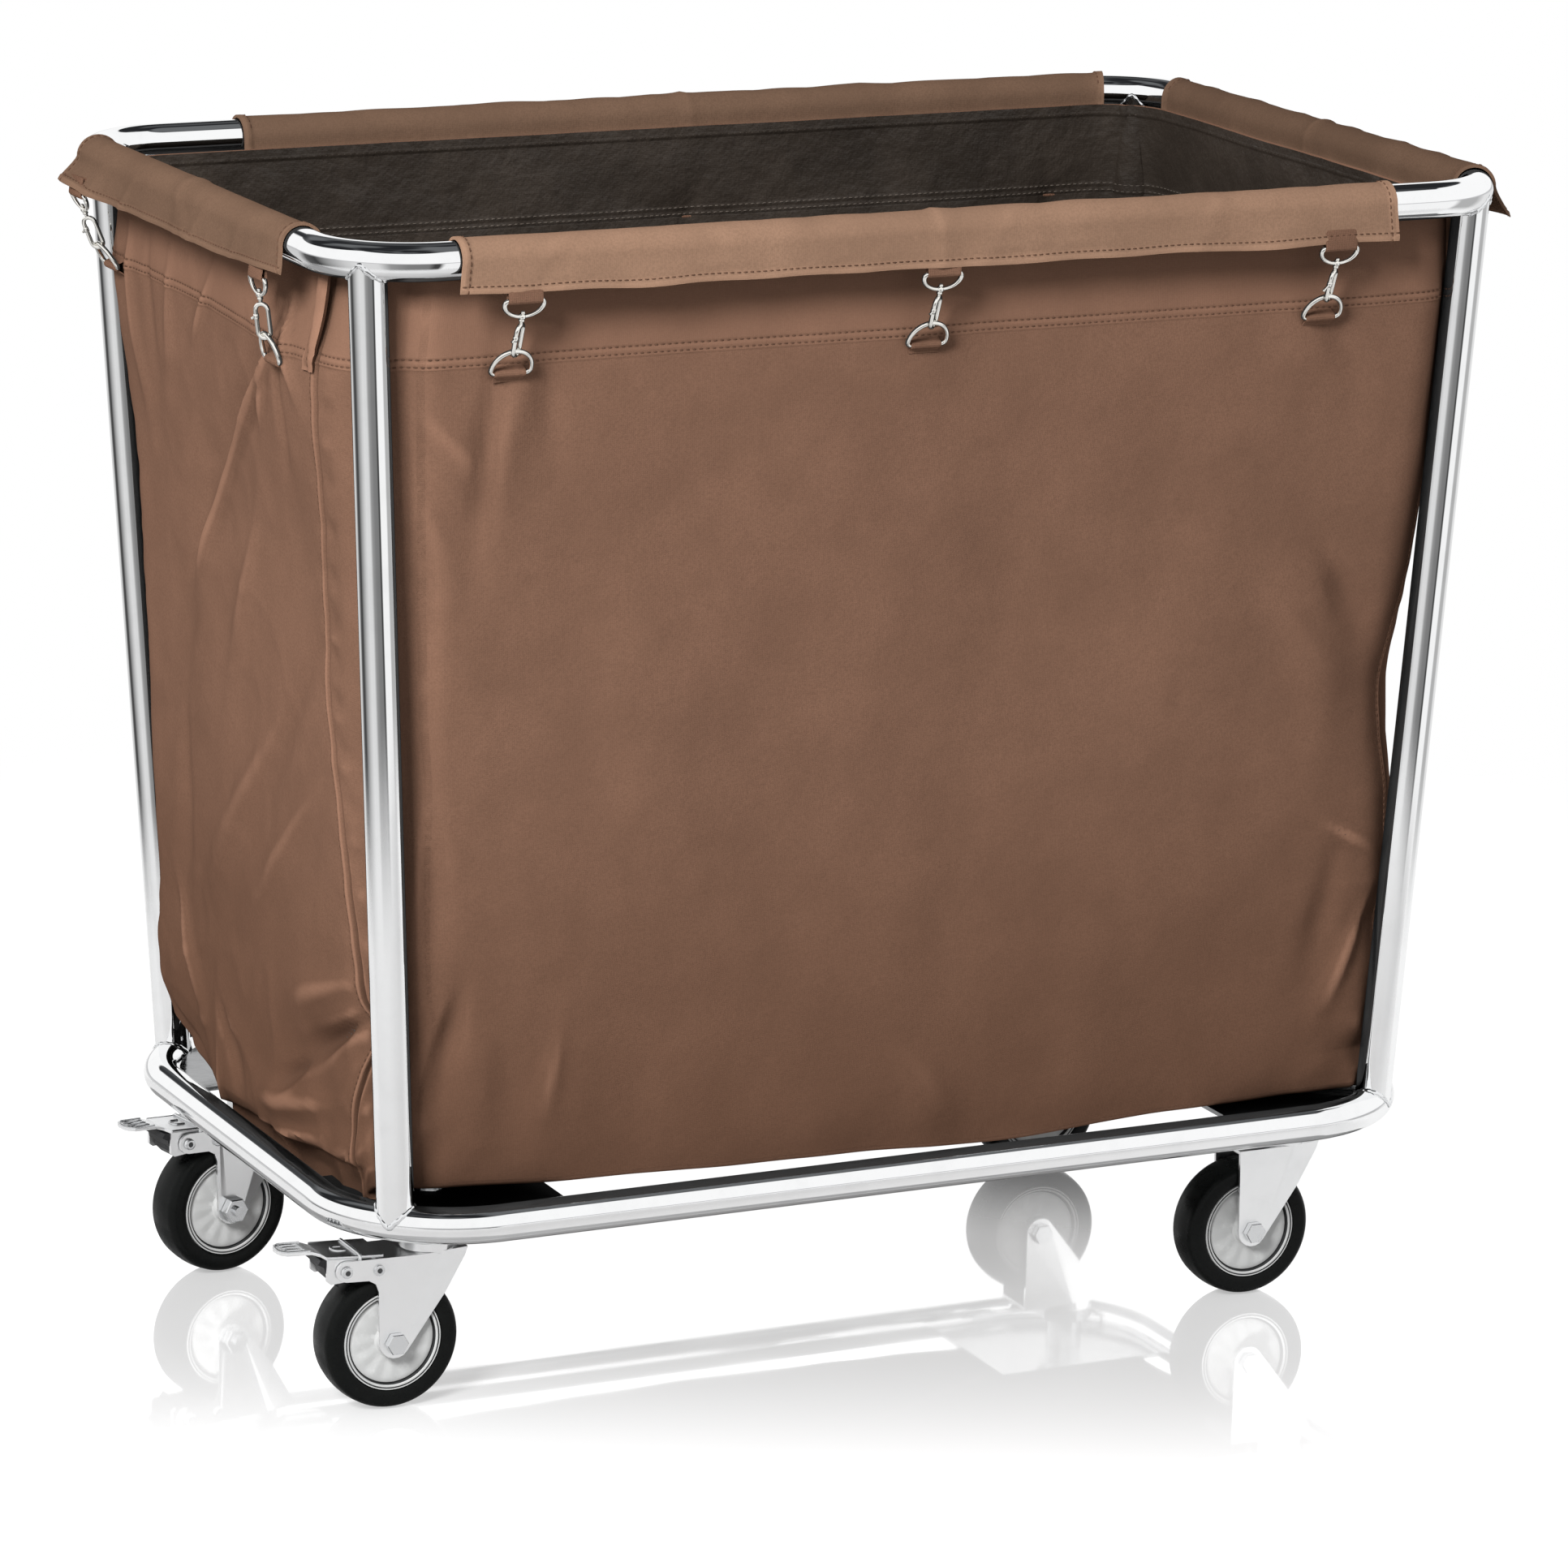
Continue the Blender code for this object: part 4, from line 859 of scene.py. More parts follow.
def bag(looks):
    """The hung bag: a lofted shell with a doubled band, corner seams, folds and a sagging floor."""
    fine = [(S_LEFT + SHORT / 2 + 0.01, SHORT / 2 + 0.02, 0.0033)]
    fine += [(start, 0.0075, 0.0012) for start, _ in SEAMS]
    around = stations(0.0, ROUND, 0.0056, fine)[:-1]
    fine = [(BAND_Z, 0.0036, 0.0009), (BAND_Z + BAND_ROWS[1], 0.0024, 0.0008),
            (BAG_HIGH.z - HEM_ROW, 0.0024, 0.0008), (BAG_LOW.z + 0.021, 0.0120, 0.0016)]
    heights = stations(BAG_LOW.z + 0.007, BAG_HIGH.z, 0.0040, fine)[::-1]
    s, z = np.meshgrid(around, heights)
    wall = bag_surface(s, z)
    normal = grid_normals(wall, True)
    rows = [wall]
    lowest, turn_r = wall[-1], 0.005
    for angle in np.radians((22, 45, 68, 90)):
        step = lowest.copy()
        flat = unit(normal[-1] * (1, 1, 0))
        step -= flat * turn_r * (1 - math.cos(angle))
        step[:, 2] -= turn_r * math.sin(angle)
        rows.append(step[None])
    edge = rows[-1][0]
    for share in (0.97, 0.93, 0.87, 0.78, 0.66, 0.52, 0.36, 0.2, 0.06):
        ring = edge * (share, share, 1.0)
        sag = 0.004 * (1 - share ** 2)
        ring[:, 2] += -sag + 0.0016 * ripple(ring, 18.0, 5.0) * (1 - share)
        rows.append(ring[None])
    outer = np.concatenate(rows)
    thick = CLOTH_T + BAND_T * step_up(outer[..., 2], BAND_Z - 0.001, BAND_Z + 0.001)
    rim_fold = step_up(outer[..., 2], BAG_HIGH.z - 0.0085, BAG_HIGH.z - 0.0070)
    inner = outer - grid_normals(outer, True) * (thick + 0.0012 * rim_fold)[..., None]
    rows_n, cols_n = outer.shape[:2]
    count = rows_n * cols_n
    faces = grid_faces(rows_n, cols_n, True, flip=True) + grid_faces(rows_n, cols_n, True, first=count)
    marks = [0] * (len(faces) // 2) + [1] * (len(faces) // 2)
    for c in range(cols_n):
        d = (c + 1) % cols_n
        faces.append((c, d, count + d, count + c))
        marks.append(0)
    last = (rows_n - 1) * cols_n
    faces += [tuple(last + c for c in range(cols_n)),
              tuple(count + last + c for c in range(cols_n - 1, -1, -1))]
    marks += [0, 1]
    uv_s = np.broadcast_to(around, (rows_n, cols_n))
    uv_z = np.concatenate([z, BAG_LOW.z - 0.02 * np.arange(1, rows_n - len(z) + 1)[:, None] + 0 * z[:1]])
    uv = np.stack([uv_s, uv_z], -1).reshape(-1, 2)
    mesh = mesh_from("linen_bag", np.concatenate([outer.reshape(-1, 3), inner.reshape(-1, 3)]), faces,
                     np.concatenate([uv, uv]), marks)
    shell = piece("bag_shell", mesh, "frame", [looks["brown"], looks["lining"]], 60)
    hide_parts("linen_bag")


def stitches(name, lines, material, radius=0.00042, length=0.0034):
    """Sewn stitches: a small rounded bar every pitch along each (points, normals) line."""
    ring = np.radians(np.arange(0, 360, 60))
    profile = ((-0.5, 0.35, -0.9), (-0.32, 1.0, 0.0), (0.0, 1.1, 0.25), (0.32, 1.0, 0.0), (0.5, 0.35, -0.9))
    points, faces = [], []
    for path, normals in lines:
        steps = np.linalg.norm(np.diff(path, axis=0), axis=1)
        run = np.concatenate([[0], np.cumsum(steps)])
        at = np.arange(STITCH_PITCH / 2, run[-1], STITCH_PITCH)
        spot = np.stack([np.interp(at, run, path[:, k]) for k in range(3)], 1)
        ahead = unit(np.stack([np.interp(at + 0.001, run, path[:, k]) -
                               np.interp(at - 0.001, run, path[:, k]) for k in range(3)], 1))
        lift = np.stack([np.interp(at, run, normals[:, k]) for k in range(3)], 1)
        side = unit(np.cross(lift, ahead))
        lift = np.cross(ahead, side)
        for k in range(len(at)):
            first = len(points)
            for shift, swell_by, rise in profile:
                middle = spot[k] + ahead[k] * shift * length + lift[k] * radius * (0.25 + rise)
                for angle in ring:
                    points.append(middle + radius * swell_by *
                                  (math.cos(angle) * side[k] + math.sin(angle) * lift[k]))
            faces += grid_faces(5, 6, wrap=True, first=first)
            faces.append(tuple(first + j for j in range(5, -1, -1)))
            faces.append(tuple(first + 24 + j for j in range(6)))
    return piece(name, mesh_from(name, points, faces), "frame", [material], 80)


def on_bag(s, height, lift):
    """Points and outward normals on the bag's outer face along a line."""
    s, height = np.broadcast_arrays(np.asarray(s, float), np.asarray(height, float))
    step = 0.0015
    here = bag_surface(s.copy(), height.copy())
    ahead = bag_surface(s + step, height.copy()) - here
    rise = bag_surface(s.copy(), height + step) - here
    normal = unit(np.cross(ahead, rise))
    return here + normal * lift, normal


def bag_sewing(looks):
    """The band's two rows of stitches, the hem row inside, and the rows beside the corner seams."""
    around = np.arange(0.0, ROUND, 0.003)
    rows = [on_bag(around, BAND_Z + up, 0.0) for up in BAND_ROWS]
    for start, _ in SEAMS:
        heights = np.arange(BAG_LOW.z + 0.02, BAND_Z - 0.002, 0.004)
        rows.append(on_bag(start - 0.0042, heights, 0.0))
    stitches("bag_stitching", rows, looks["thread"])
    inside = []
    doubled = CLOTH_T + BAND_T
    for height, depth in ((BAG_HIGH.z - HEM_ROW, doubled + 0.0004), (BAND_Z + BAND_ROWS[0], doubled),
                          (BAND_Z + BAND_ROWS[1], doubled)):
        path, normal = on_bag(around, height, -depth)
        inside.append((path, -normal))
    stitches("lining_stitching", inside, looks["dark_thread"])


def seam_fins(looks):
    """The folded seam allowance that stands out at each corner of the band."""
    for number, (start, _) in enumerate(SEAMS):
        heights = np.linspace(BAG_HIGH.z - 0.007, BAND_Z - 0.006, 22)
        width = np.linspace(0, 1, 9)
        reach = 0.0135 if number == 0 else 0.009
        grid = np.zeros((len(heights), len(width), 3))
        for k, share in enumerate(width):
            wave = 0.0010 * np.sin(heights * 120 + number) * share
            taper = step_up(heights, BAND_Z - 0.006, BAND_Z + 0.030)
            stand = 0.0010 + (0.0065 * share ** 0.7 + wave) * taper
            line, normal = on_bag(start - reach + reach * share, heights, 0.0)
            grid[:, k] = line + normal * stand[:, None]
        normal = grid_normals(grid)
        outward = np.sign((normal * on_bag(start, heights, 0.0)[1][:, None]).sum(-1, keepdims=True))
        normal = normal * outward
        thick = 0.0011 + 0.0004 * step_up(width, 0.6, 0.9)
        face, back = grid + normal * thick[None, :, None], grid - normal * thick[None, :, None]
        uv = np.stack(np.meshgrid(width * reach, heights), -1)
        mesh = sheet("seam_fin", face, back, uv)
        piece(f"seam_fin_{number + 1}", mesh, "frame", [looks["brown"]], 50)
        stitches(f"seam_fin_stitching_{number + 1}", [(face[:, 5], normal[:, 5])], looks["thread"])


# ---------------------------------------------------------------- flaps

def rim_station(along, offset, half_across):
    """Place on the rim and outward direction at a length along one side, in the side's own frame."""
    straight = half_across - RIM_BEND_R
    beyond = np.clip(np.abs(along) - straight, 0, None)
    sign, angle = np.sign(along), beyond / RIM_BEND_R
    out = np.stack([sign * np.sin(angle), -np.cos(angle)], -1)
    flat = np.stack([np.clip(along, -straight, straight), np.full(along.shape, -(offset - RIM_BEND_R))], -1)
    return flat + RIM_BEND_R * out, out


# Pinched creases across a flap: place along it, slant, half width, rise
PINCHES = {
    "left": ((0.062, 0.5, 0.0080, 0.0012), (0.131, 0.9, 0.0055, 0.0020), (0.204, -0.6, 0.0070, 0.0012),
             (0.268, 0.9, 0.0050, 0.0016), (0.338, 0.7, 0.0060, 0.0012)),
    "right": ((0.060, 0.7, 0.006, 0.0018), (0.120, -0.5, 0.005, 0.0014), (0.185, 0.8, 0.006, 0.0020),
              (0.260, 0.5, 0.006, 0.0014), (0.330, 0.9, 0.005, 0.0018), (0.400, 0.6, 0.005, 0.0012)),
    "back": ((0.090, 0.6, 0.006, 0.0012), (0.210, -0.6, 0.006, 0.0012), (0.370, 0.5, 0.007, 0.0014),
             (0.520, 0.7, 0.006, 0.0012)),
    "front": ((0.070, 0.8, 0.007, 0.0007), (0.190, -0.4, 0.008, 0.0006), (0.400, 0.6, 0.008, 0.0007),
              (0.560, 0.5, 0.007, 0.0006)),
}


def pinches(side, along, down):
    """Slanted creases where a flap's cloth is pinched; down runs from the inside over the rim to the hem."""
    rise = 0.0
    for place, slant, width, height in PINCHES[side]:
        starts = 0.004 if side == "left" else -0.018
        fade = step_up(down, starts, starts + 0.022)
        rise = rise + height * bump(along - place + slant * down, 0, width) * fade
    return rise


def flap(side, looks):
    """A flap folded over the rim: a doubled sheet with sewn hems, rumpled where it hangs."""
    turn, offset, half_across = FLAPS[side]
    spin = np.array(Matrix.Rotation(math.radians(turn), 3, "Z"))
    low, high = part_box(f"flap_{side}")
    ends = (low.x, high.x) if side == "front" else (low.y, high.y) if side == "right" else \
        (-high.x, -low.x) if side == "back" else (-high.y, -low.y)
    seed = 11.0 + turn
    seams_at = ends[0] + HEM_IN, ends[1] - HEM_IN
    along = stations(*ends, 0.0055, [(spot, 0.003, 0.001) for spot in seams_at])
    drop = RIM_Z - low.z
    # the section across the rim: inside edge, turn over the tube, hanging leg
    inner_leg = np.linspace(0.010, 0.0, 4)[:-1]
    arc = np.radians(np.linspace(180, 0, 19))
    outer_leg = stations(0.0, drop, 0.0028, [(drop - 0.0052, 0.0024, 0.0008)])[1:]
    section = [(-FLAP_R, -d) for d in inner_leg]
    section += [(FLAP_R * math.cos(a), FLAP_R * math.sin(a)) for a in arc]
    section += [(FLAP_R, -d) for d in outer_leg]
    section = np.array(section)
    # how each place along it flares out, lifts and rumples
    hang = np.clip(-section[:, 1] / drop, 0, 1) * (section[:, 0] > 0)
    base, out = rim_station(along, offset, half_across)
    rows, cols = len(section), len(along)
    share = (along - ends[0]) / (ends[1] - ends[0])
    space = np.stack([along, np.full(cols, seed), np.zeros(cols)], -1)
    waves = ripple(space, 11.0, seed) * 0.6 + ripple(space, 26.0, seed) * 0.4
    lift = ripple(space, 15.0, seed + 5.0)
    flare = np.zeros(cols)
    rise = np.zeros(cols)
    if side == "left":
        flare += 0.013 * step_up(0.20 - share, 0.0, 0.20) + 0.003 * bump(share, 0.95, 0.08)
        rise += 0.006 * step_up(0.16 - share, 0.0, 0.16) + 0.005 * step_up(share, 0.72, 1.0)
    if side == "right":
        flare += 0.010 * step_up(0.14 - share, 0.0, 0.14)
    if side == "front":
        rise += 0.0032 * (0.5 - share)
    level_of = (section[:, 0] - section[:, 1])[:, None]
    crease = 0.0011 * bump(share, 0.498, 0.004) + 0.0008 * bump(share, 0.505, 0.012)
    crease = crease[None, :] + pinches(side, share[None, :] * (ends[1] - ends[0]), level_of)
    loose = 0.0012 if side == "left" else 0.0028
    n = section[:, 0][:, None] + hang[:, None] ** 1.3 * (0.0024 + loose * waves + flare)[None, :]
    top = (section[:, 1][:, None] > -0.012) * 1.0
    spread = np.stack(np.meshgrid(along, section[:, 1] + section[:, 0]), -1)
    puff = 0.0009 * (ripple(spread.repeat(2, -1)[..., :3], 14.0, seed) * top)
    radial = np.maximum(np.hypot(section[:, 0], np.clip(section[:, 1], 0, None)), 1e-6)[:, None]
    grow = 1 + (np.abs(puff) * (0.3 if side == "left" else 1.0) + crease) / radial
    n = n * grow
    z = section[:, 1][:, None] * np.where(section[:, 1][:, None] > 0, grow, 1.0) + RIM_Z
    z = z + hang[:, None] * (rise + (0.0004 if side == "left" else 0.0012) * lift)[None, :]
    x = base[None, :, 0] + out[None, :, 0] * n
    y = base[None, :, 1] + out[None, :, 1] * n
    skew = 0.004 * (share - 0.5) * (1 if side in ("front", "left") else -1)
    x = x + hang[:, None] * skew[None, :]
    if side == "left":
        x = x - 0.006 * (1 - hang[:, None]) * step_up(share, 0.88, 1.0)[None, :]
    middle = np.stack([x, y, z], -1) @ spin.T
    normal = grid_normals(middle)
    centre = np.stack([base[:, 0], base[:, 1], np.full(cols, RIM_Z)], -1) @ spin.T
    outward = middle - centre[None]
    normal *= np.sign((normal * outward).sum(-1, keepdims=True))
    # hems are doubled cloth, with the stitched rows pressed in
    run = np.concatenate([[0], np.cumsum(np.linalg.norm(np.diff(section, axis=0), axis=1))])
    hem = step_up(run, run[-1] - 0.0062, run[-1] - 0.0056)
    end_hem = np.maximum(step_up(ends[0] + 0.0068 - along, 0.0, 0.0008),
                         step_up(along - ends[1] + 0.0068, 0.0, 0.0008))
    thick = 0.0009 + 0.0010 * np.maximum(hem[:, None], end_hem[None, :])
    seam = bump(run, run[-1] - HEM_UP, 0.0009)[:, None]
    for spot in seams_at:
        seam = seam + bump(along, spot, 0.0009)[None]
    edge = np.minimum(1.0, 0.35 + 0.65 * np.sqrt(np.clip((run[-1] - run) / 0.0012, 0, 1)))[:, None]
    face = middle + normal * (thick * edge - 0.0004 * seam)[..., None]
    back = middle - normal * (0.0002 * edge)[..., None]
    uv = np.stack(np.meshgrid(along, run), -1)
    mesh = sheet("flap", face, back, uv)
    made = piece(f"flap_{side}_cloth", mesh, "frame", [looks[f"flap_{side}"]], 60)
    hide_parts(f"flap_{side}")
    row = int(np.argmin(np.abs(run - (run[-1] - HEM_UP))))
    rows_of = [(face[row], normal[row])]
    for spot in seams_at:
        col = int(np.argmin(np.abs(along - spot)))
        rows_of.append((face[6:, col], normal[6:, col]))
    stitches(f"flap_{side}_stitching", rows_of, looks["thread"])


# ---------------------------------------------------------------- clips

# Radii of the clips' wire and of the webbing's turn round it
WIRE_R, WRAP_R = 0.00155, 0.0021
EYE_HALF_W, EYE_DEPTH = 0.0140, 0.0125
CHAIN_TILT, HOOK_TWIST = math.radians(22.3), math.radians(42.0)
HOOK_TOP, HOOK_BOTTOM, HOOK_HALF_W = 0.0190, 0.0426, 0.0047
RING_HALF_W, RING_HEIGHT, RING_TILT = 0.0143, 0.0196, math.radians(32.5)


def d_path(half_w, depth, across, along, steps, corner=0.0028):
    """A closed D: a straight bar through the origin, rounded corners, and a bow."""
    points = [across * half_w * k for k in (-0.55, 0.0, 0.55)]
    turns, rise = np.radians((0, 30, 60, 90)), depth - corner
    for a in turns:
        points.append(across * (half_w - corner) + across * corner * math.sin(a) +
                      along * corner * (1 - math.cos(a)))
    for step in range(1, steps):
        angle = math.pi * step / steps
        points.append(across * half_w * math.cos(angle) + along * (corner + rise * math.sin(angle)))
    for a in turns[::-1]:
        points.append(-across * (half_w - corner) - across * corner * math.sin(a) +
                      along * corner * (1 - math.cos(a)))
    return np.array(points)


def ball(centre, radius, squash, axis):
    """A turned knob: a stack of rings about an axis."""
    axis = np.asarray(axis, float)
    path = [centre + axis * radius * squash * t for t in np.linspace(-1, 1, 11)]
    radii = [radius * math.sqrt(max(0.02, 1 - t * t)) for t in np.linspace(-1, 1, 11)]
    return tube_mesh("knob", path, radii, 14, False)


def chain_lean(side, number):
    """How far a clip's chain leans outward from the usual, from its two joints."""
    lean = []
    for clip in ("front_1", f"{side}_{number}"):
        high, low = (Vector(JOINTS[f"{name}_swing_{clip}"]["pos_m"]) for name in ("hook", "ring"))
        lean.append(math.atan2((low - high).to_2d().length, high.z - low.z))
    return lean[0] - lean[1]


def hook_mesh(hang_out):
    """The snap hook: wire eye, swivel knob, long loop, and a thicker collar on the loop for the gate, with
    its thumb stud.
    """
    across = np.array((1.0, 0.0, 0.0))
    down = np.array((0.0, math.sin(CHAIN_TILT), -math.cos(CHAIN_TILT)))
    facing = np.cross(across, down)
    bow = d_path(EYE_HALF_W, EYE_DEPTH, across, down, 18)
    depth = bow @ down
    radii = WIRE_R * (1.06 - 0.22 * step_up(depth, 0.004, EYE_DEPTH))
    parts = [tube_mesh("eye", bow, radii, 12, True, facing)]
    neck = down * EYE_DEPTH
    parts.append(ball(neck, 0.0026, 0.95, down))
    parts.append(ball(neck - down * 0.0030, 0.0015, 0.9, down))
    parts.append(ball(neck + down * 0.0028, 0.0021, 0.7, down))
    stem = [neck + down * t for t in np.linspace(0.001, HOOK_TOP - EYE_DEPTH + 0.0008, 6)]
    parts.append(tube_mesh("stem", stem, 0.0013, 12, False))
    wide = across * math.cos(HOOK_TWIST) + facing * math.sin(HOOK_TWIST)
    loop = []
    for centre, start in ((HOOK_BOTTOM - HOOK_HALF_W, 0), (HOOK_TOP + HOOK_HALF_W, 180)):
        bend = arc_points((0.0, centre), HOOK_HALF_W, start, start + 180, 12)
        loop += [wide * a + down * b for a, b in bend]
    parts.append(tube_mesh("loop", loop, WIRE_R, 12, True, np.cross(wide, down)))
    middle = (HOOK_TOP + HOOK_BOTTOM) / 2
    collar = [wide * -HOOK_HALF_W + down * (middle + t) for t in (-0.0052, -0.0048, -0.0016, -0.0012)]
    parts.append(tube_mesh("collar", collar, [0.0013, 0.0019, 0.0019, 0.0013], 12, False))
    lean = unit(wide * -1.0 + down * 0.5 + (facing * 0.3))
    root = wide * -(HOOK_HALF_W + 0.0012) + down * (middle - 0.0032)
    tip = 0.0030 if not hang_out else 0.0058
    parts.append(tube_mesh("stud", [root, root + lean * tip * 0.6, root + lean * tip],
                           [0.0008, 0.0008, 0.0011], 10, False))
    return merged("snap_hook", parts)


def ring_mesh():
    """The D-ring, a little flattened along its bow."""
    across = np.array((1.0, 0.0, 0.0))
    up = np.array((0.0, -math.sin(RING_TILT), math.cos(RING_TILT)))
    return tube_mesh("d_ring", d_path(RING_HALF_W, RING_HEIGHT, across, up, 24, 0.0034), WIRE_R * 1.1, 12,
                     True, np.cross(across, up))


def webbing(name, section, half_w, spin, place, looks):
    """A strap of webbing whose middle line is a path in (out, height), in a side's own frame."""
    section = np.array(section, float)
    fine = np.linspace(0, len(section) - 1, 6 * len(section))
    line = np.stack([np.interp(fine, np.arange(len(section)), section[:, k]) for k in range(2)], 1)
    for _ in range(10):
        line[1:-1] = (line[:-2] + line[1:-1] * 2 + line[2:]) / 4
    width = np.linspace(-half_w, half_w, 13)
    ahead = unit(np.gradient(line, axis=0))
    side = np.stack([ahead[:, 1], -ahead[:, 0]], 1)
    thick = 0.00065
    faces = []
    for sign in (1, -1):
        grid = np.zeros((len(line), len(width), 3))
        for k, w in enumerate(width):
            rib = 1 - 0.5 * (abs(w) / half_w) ** 12 + (0.14 * math.cos(w / half_w * 14))
            shift = side * thick * sign * rib
            grid[:, k] = np.stack([np.full(len(line), place + w), -(line[:, 0] + shift[:, 0]),
                                   line[:, 1] + shift[:, 1]], 1)
        faces.append(grid @ spin.T)
    run = np.concatenate([[0], np.cumsum(np.linalg.norm(np.diff(line, axis=0), axis=1))])
    mesh = sheet(name, faces[0], faces[1], np.stack(np.meshgrid(width, run), -1))
    return piece(name, mesh, "frame", [looks["web"]], 50)


def clips(looks):
    """Every snap hook and D-ring on its joint, with the webbing loops that hold them."""
    for side, (turn, _, _) in FLAPS.items():
        matrix = Matrix.Rotation(math.radians(turn), 3, "Z")
        spin = np.array(matrix)
        for number in range(1, 4 if side in ("front", "back") else 3):
            bar = Vector(JOINTS[f"hook_swing_{side}_{number}"]["pos_m"])
            ring_bar = Vector(JOINTS[f"ring_swing_{side}_{number}"]["pos_m"])
            hang = matrix @ Matrix.Rotation(-chain_lean(side, number), 3, "X")
            for kind, body, mesh, spot in (("snap_hook", "hook", hook_mesh(number == 3), bar),
                                           ("d_ring", "ring", ring_mesh(), ring_bar)):
                mesh.transform(Matrix.Translation(spot) @ hang.to_4x4())
                made = piece(f"{kind}_{side}_{number}_wire", mesh, f"{body}_{side}_{number}",
                             [looks["nickel"]], 60)
                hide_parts(f"{kind}_{side}_{number}")
            high, low = matrix.inverted() @ bar, matrix.inverted() @ ring_bar
            out, height = -high.y, high.z
            upper = [(out - 0.0004, height + 0.0125), (out + 0.0012, height + 0.0060)]
            upper += list(arc_points((out, height), WRAP_R, 20, -200, 8))
            upper += [(out - 0.0018, height + 0.0060), (out - 0.0022, height + 0.0125)]
            webbing(f"hook_loop_{side}_{number}", upper, 0.0122, spin, high.x, looks)
            out, height = -low.y, low.z
            wall = wall_out(side, spin, low.x, height) - 0.0004
            lower = [(wall, height + 0.0052), (out - 0.0028, height + 0.0036)]
            lower += list(arc_points((out, height), WRAP_R, 70, -110, 8))
            lower += [(out - 0.0034, height - 0.0040), (wall, height - 0.0062)]
            webbing(f"ring_loop_{side}_{number}", lower, 0.0110, spin, low.x, looks)


def wall_out(side, spin, place, height):
    """How far out the bag's outer face is, in a side's own frame."""
    across = {"front": place, "right": place, "back": -place, "left": -place}[side]
    point = bag_surface(np.array([[along_bag(side, across)]]), np.array([[height]]))[0, 0]
    return -(spin.T @ point)[1]


# ---------------------------------------------------------------- casters

# Radii of the hub's two round grooves, and where a braked fork's rivet is from its pedal's pivot
GROOVES = ((0.0309, 0.0323), (0.0338, 0.0347))
RIVET_OFFSET = Vector((0.0239, 0.0, -0.0012))
# A rivet end's rolled rim and its hollow, a dark disc of painted shade: (radius, height) profile, steps round
# it, slot and look
RIVET_PARTS = (
    ("rims", [(0.0016, 0.0001), (0.0019, 0.0007), (0.0028, 0.0009), (0.0037, 0.0006), (0.0040, 0.0),
              (0.0040, -0.0008), (0.0016, -0.0008)], 32, "zinc_plate", "bolt"),
    ("hollows", [(0.00005, 0.0003), (0.0019, 0.0003), (0.0019, -0.0004), (0.00005, -0.0004)], 24,
     "black_plastic", "groove"),
)
# How far the ends of the rivet and of the pivot pin stand from the middle of the fork
RIVET_FACE, PIVOT_FACE = 0.0213, 0.0222


def caster_frame(corner):
    """A matrix that takes a caster's own frame, trail along -X and axle along Y, to its place."""
    swivel, wheel = JOINTS[f"swivel_{corner}"], JOINTS[f"wheel_spin_{corner}"]
    axis = Vector(wheel["axis"])
    ahead = axis.cross(Vector((0, 0, 1)))
    turn = Matrix((ahead, axis, (0, 0, 1))).transposed().to_4x4()
    spot = Vector(swivel["pos_m"])
    return Matrix.Translation((spot.x, spot.y, 0.0)) @ turn, Matrix.Translation(wheel["pos_m"]) @ turn


def tyre_mesh():
    """A rubber tyre with a flat side, soft shoulders and a slightly crowned tread."""
    half = [(0.0361, 0.0140), (0.0366, 0.0150), (0.0380, 0.0157), (0.0415, 0.0159), (0.0436, 0.0158)]
    for a in np.radians((15, 30, 45, 60, 75, 90)):
        half.append((0.0436 + 0.0056 * math.sin(a), 0.0158 - 0.0062 * (1 - math.cos(a))))
    half += [(0.0497, 0.0060), (0.0500, 0.0020)]
    return revolved("tyre", half + [(r, -y) for r, y in reversed(half)], 96)


def hub_mesh():
    """The wheel's core: boss, disc with shallow rays, and a stepped bright rim."""
    half = [(0.0048, 0.0166), (0.0100, 0.0168), (0.0108, 0.0162), (0.0116, 0.0132), (0.0128, 0.0124)]
    half += [(0.0170, 0.0124), (0.0220, 0.0124), (0.0270, 0.0124), (0.0302, 0.0124), (0.0309, 0.0120),
             (0.0312, 0.0106)]
    half += [(0.0320, 0.0106), (0.0323, 0.0142), (0.0328, 0.0148), (0.0338, 0.0149), (0.0340, 0.0144),
             (0.0346, 0.0144)]
    half += [(0.0348, 0.0150), (0.0356, 0.0150), (0.0358, 0.0140)]

    def rays(radius, y, angle):
        tooth = abs((angle / (2 * math.pi) * 12) % 1 - 0.5) * 2
        band = step_up(radius, 0.013, 0.020) * (1 - step_up(radius, 0.0265, 0.0300))
        return math.copysign(0.0008 * tooth * band, y)
    return revolved("hub", half + [(r, -y) for r, y in reversed(half)], 96, rays)


def paint_groove_shade(mesh):
    """Give the floors of the hub's two round grooves its second material, a painted shade."""
    for face in mesh.polygons:
        radius = math.hypot(face.center.x, face.center.z)
        if any(low < radius < high for low, high in GROOVES):
            face.material_index = 1


def rivet_rims(corner, place, looks):
    """The rolled rim and the hollow, painted dark as shade, at each end of a braked fork's rivet and of its
    pedal's pin.
    """
    pivot = place.inverted() @ Vector(JOINTS[f"brake_{corner}"]["pos_m"])
    for name, spot, face, body in (("rivet", pivot + RIVET_OFFSET, RIVET_FACE, f"caster_{corner}"),
                                   ("pivot", pivot, PIVOT_FACE, f"pedal_{corner}")):
        for kind, profile, steps, slot, look in RIVET_PARTS:
            parts = []
            for side in (-1, 1):
                parts.append(revolved(kind, [(r, side * y) for r, y in profile[::-side]], steps))
                parts[-1].transform(Matrix.Translation((spot.x, side * face, spot.z)))
            mesh = merged(f"rivet_{kind}", parts)
            mesh.transform(place)
            fix_faces(mesh)
            piece(f"brake_{corner}_{name}_{kind}", mesh, body, [looks[look]], 40)


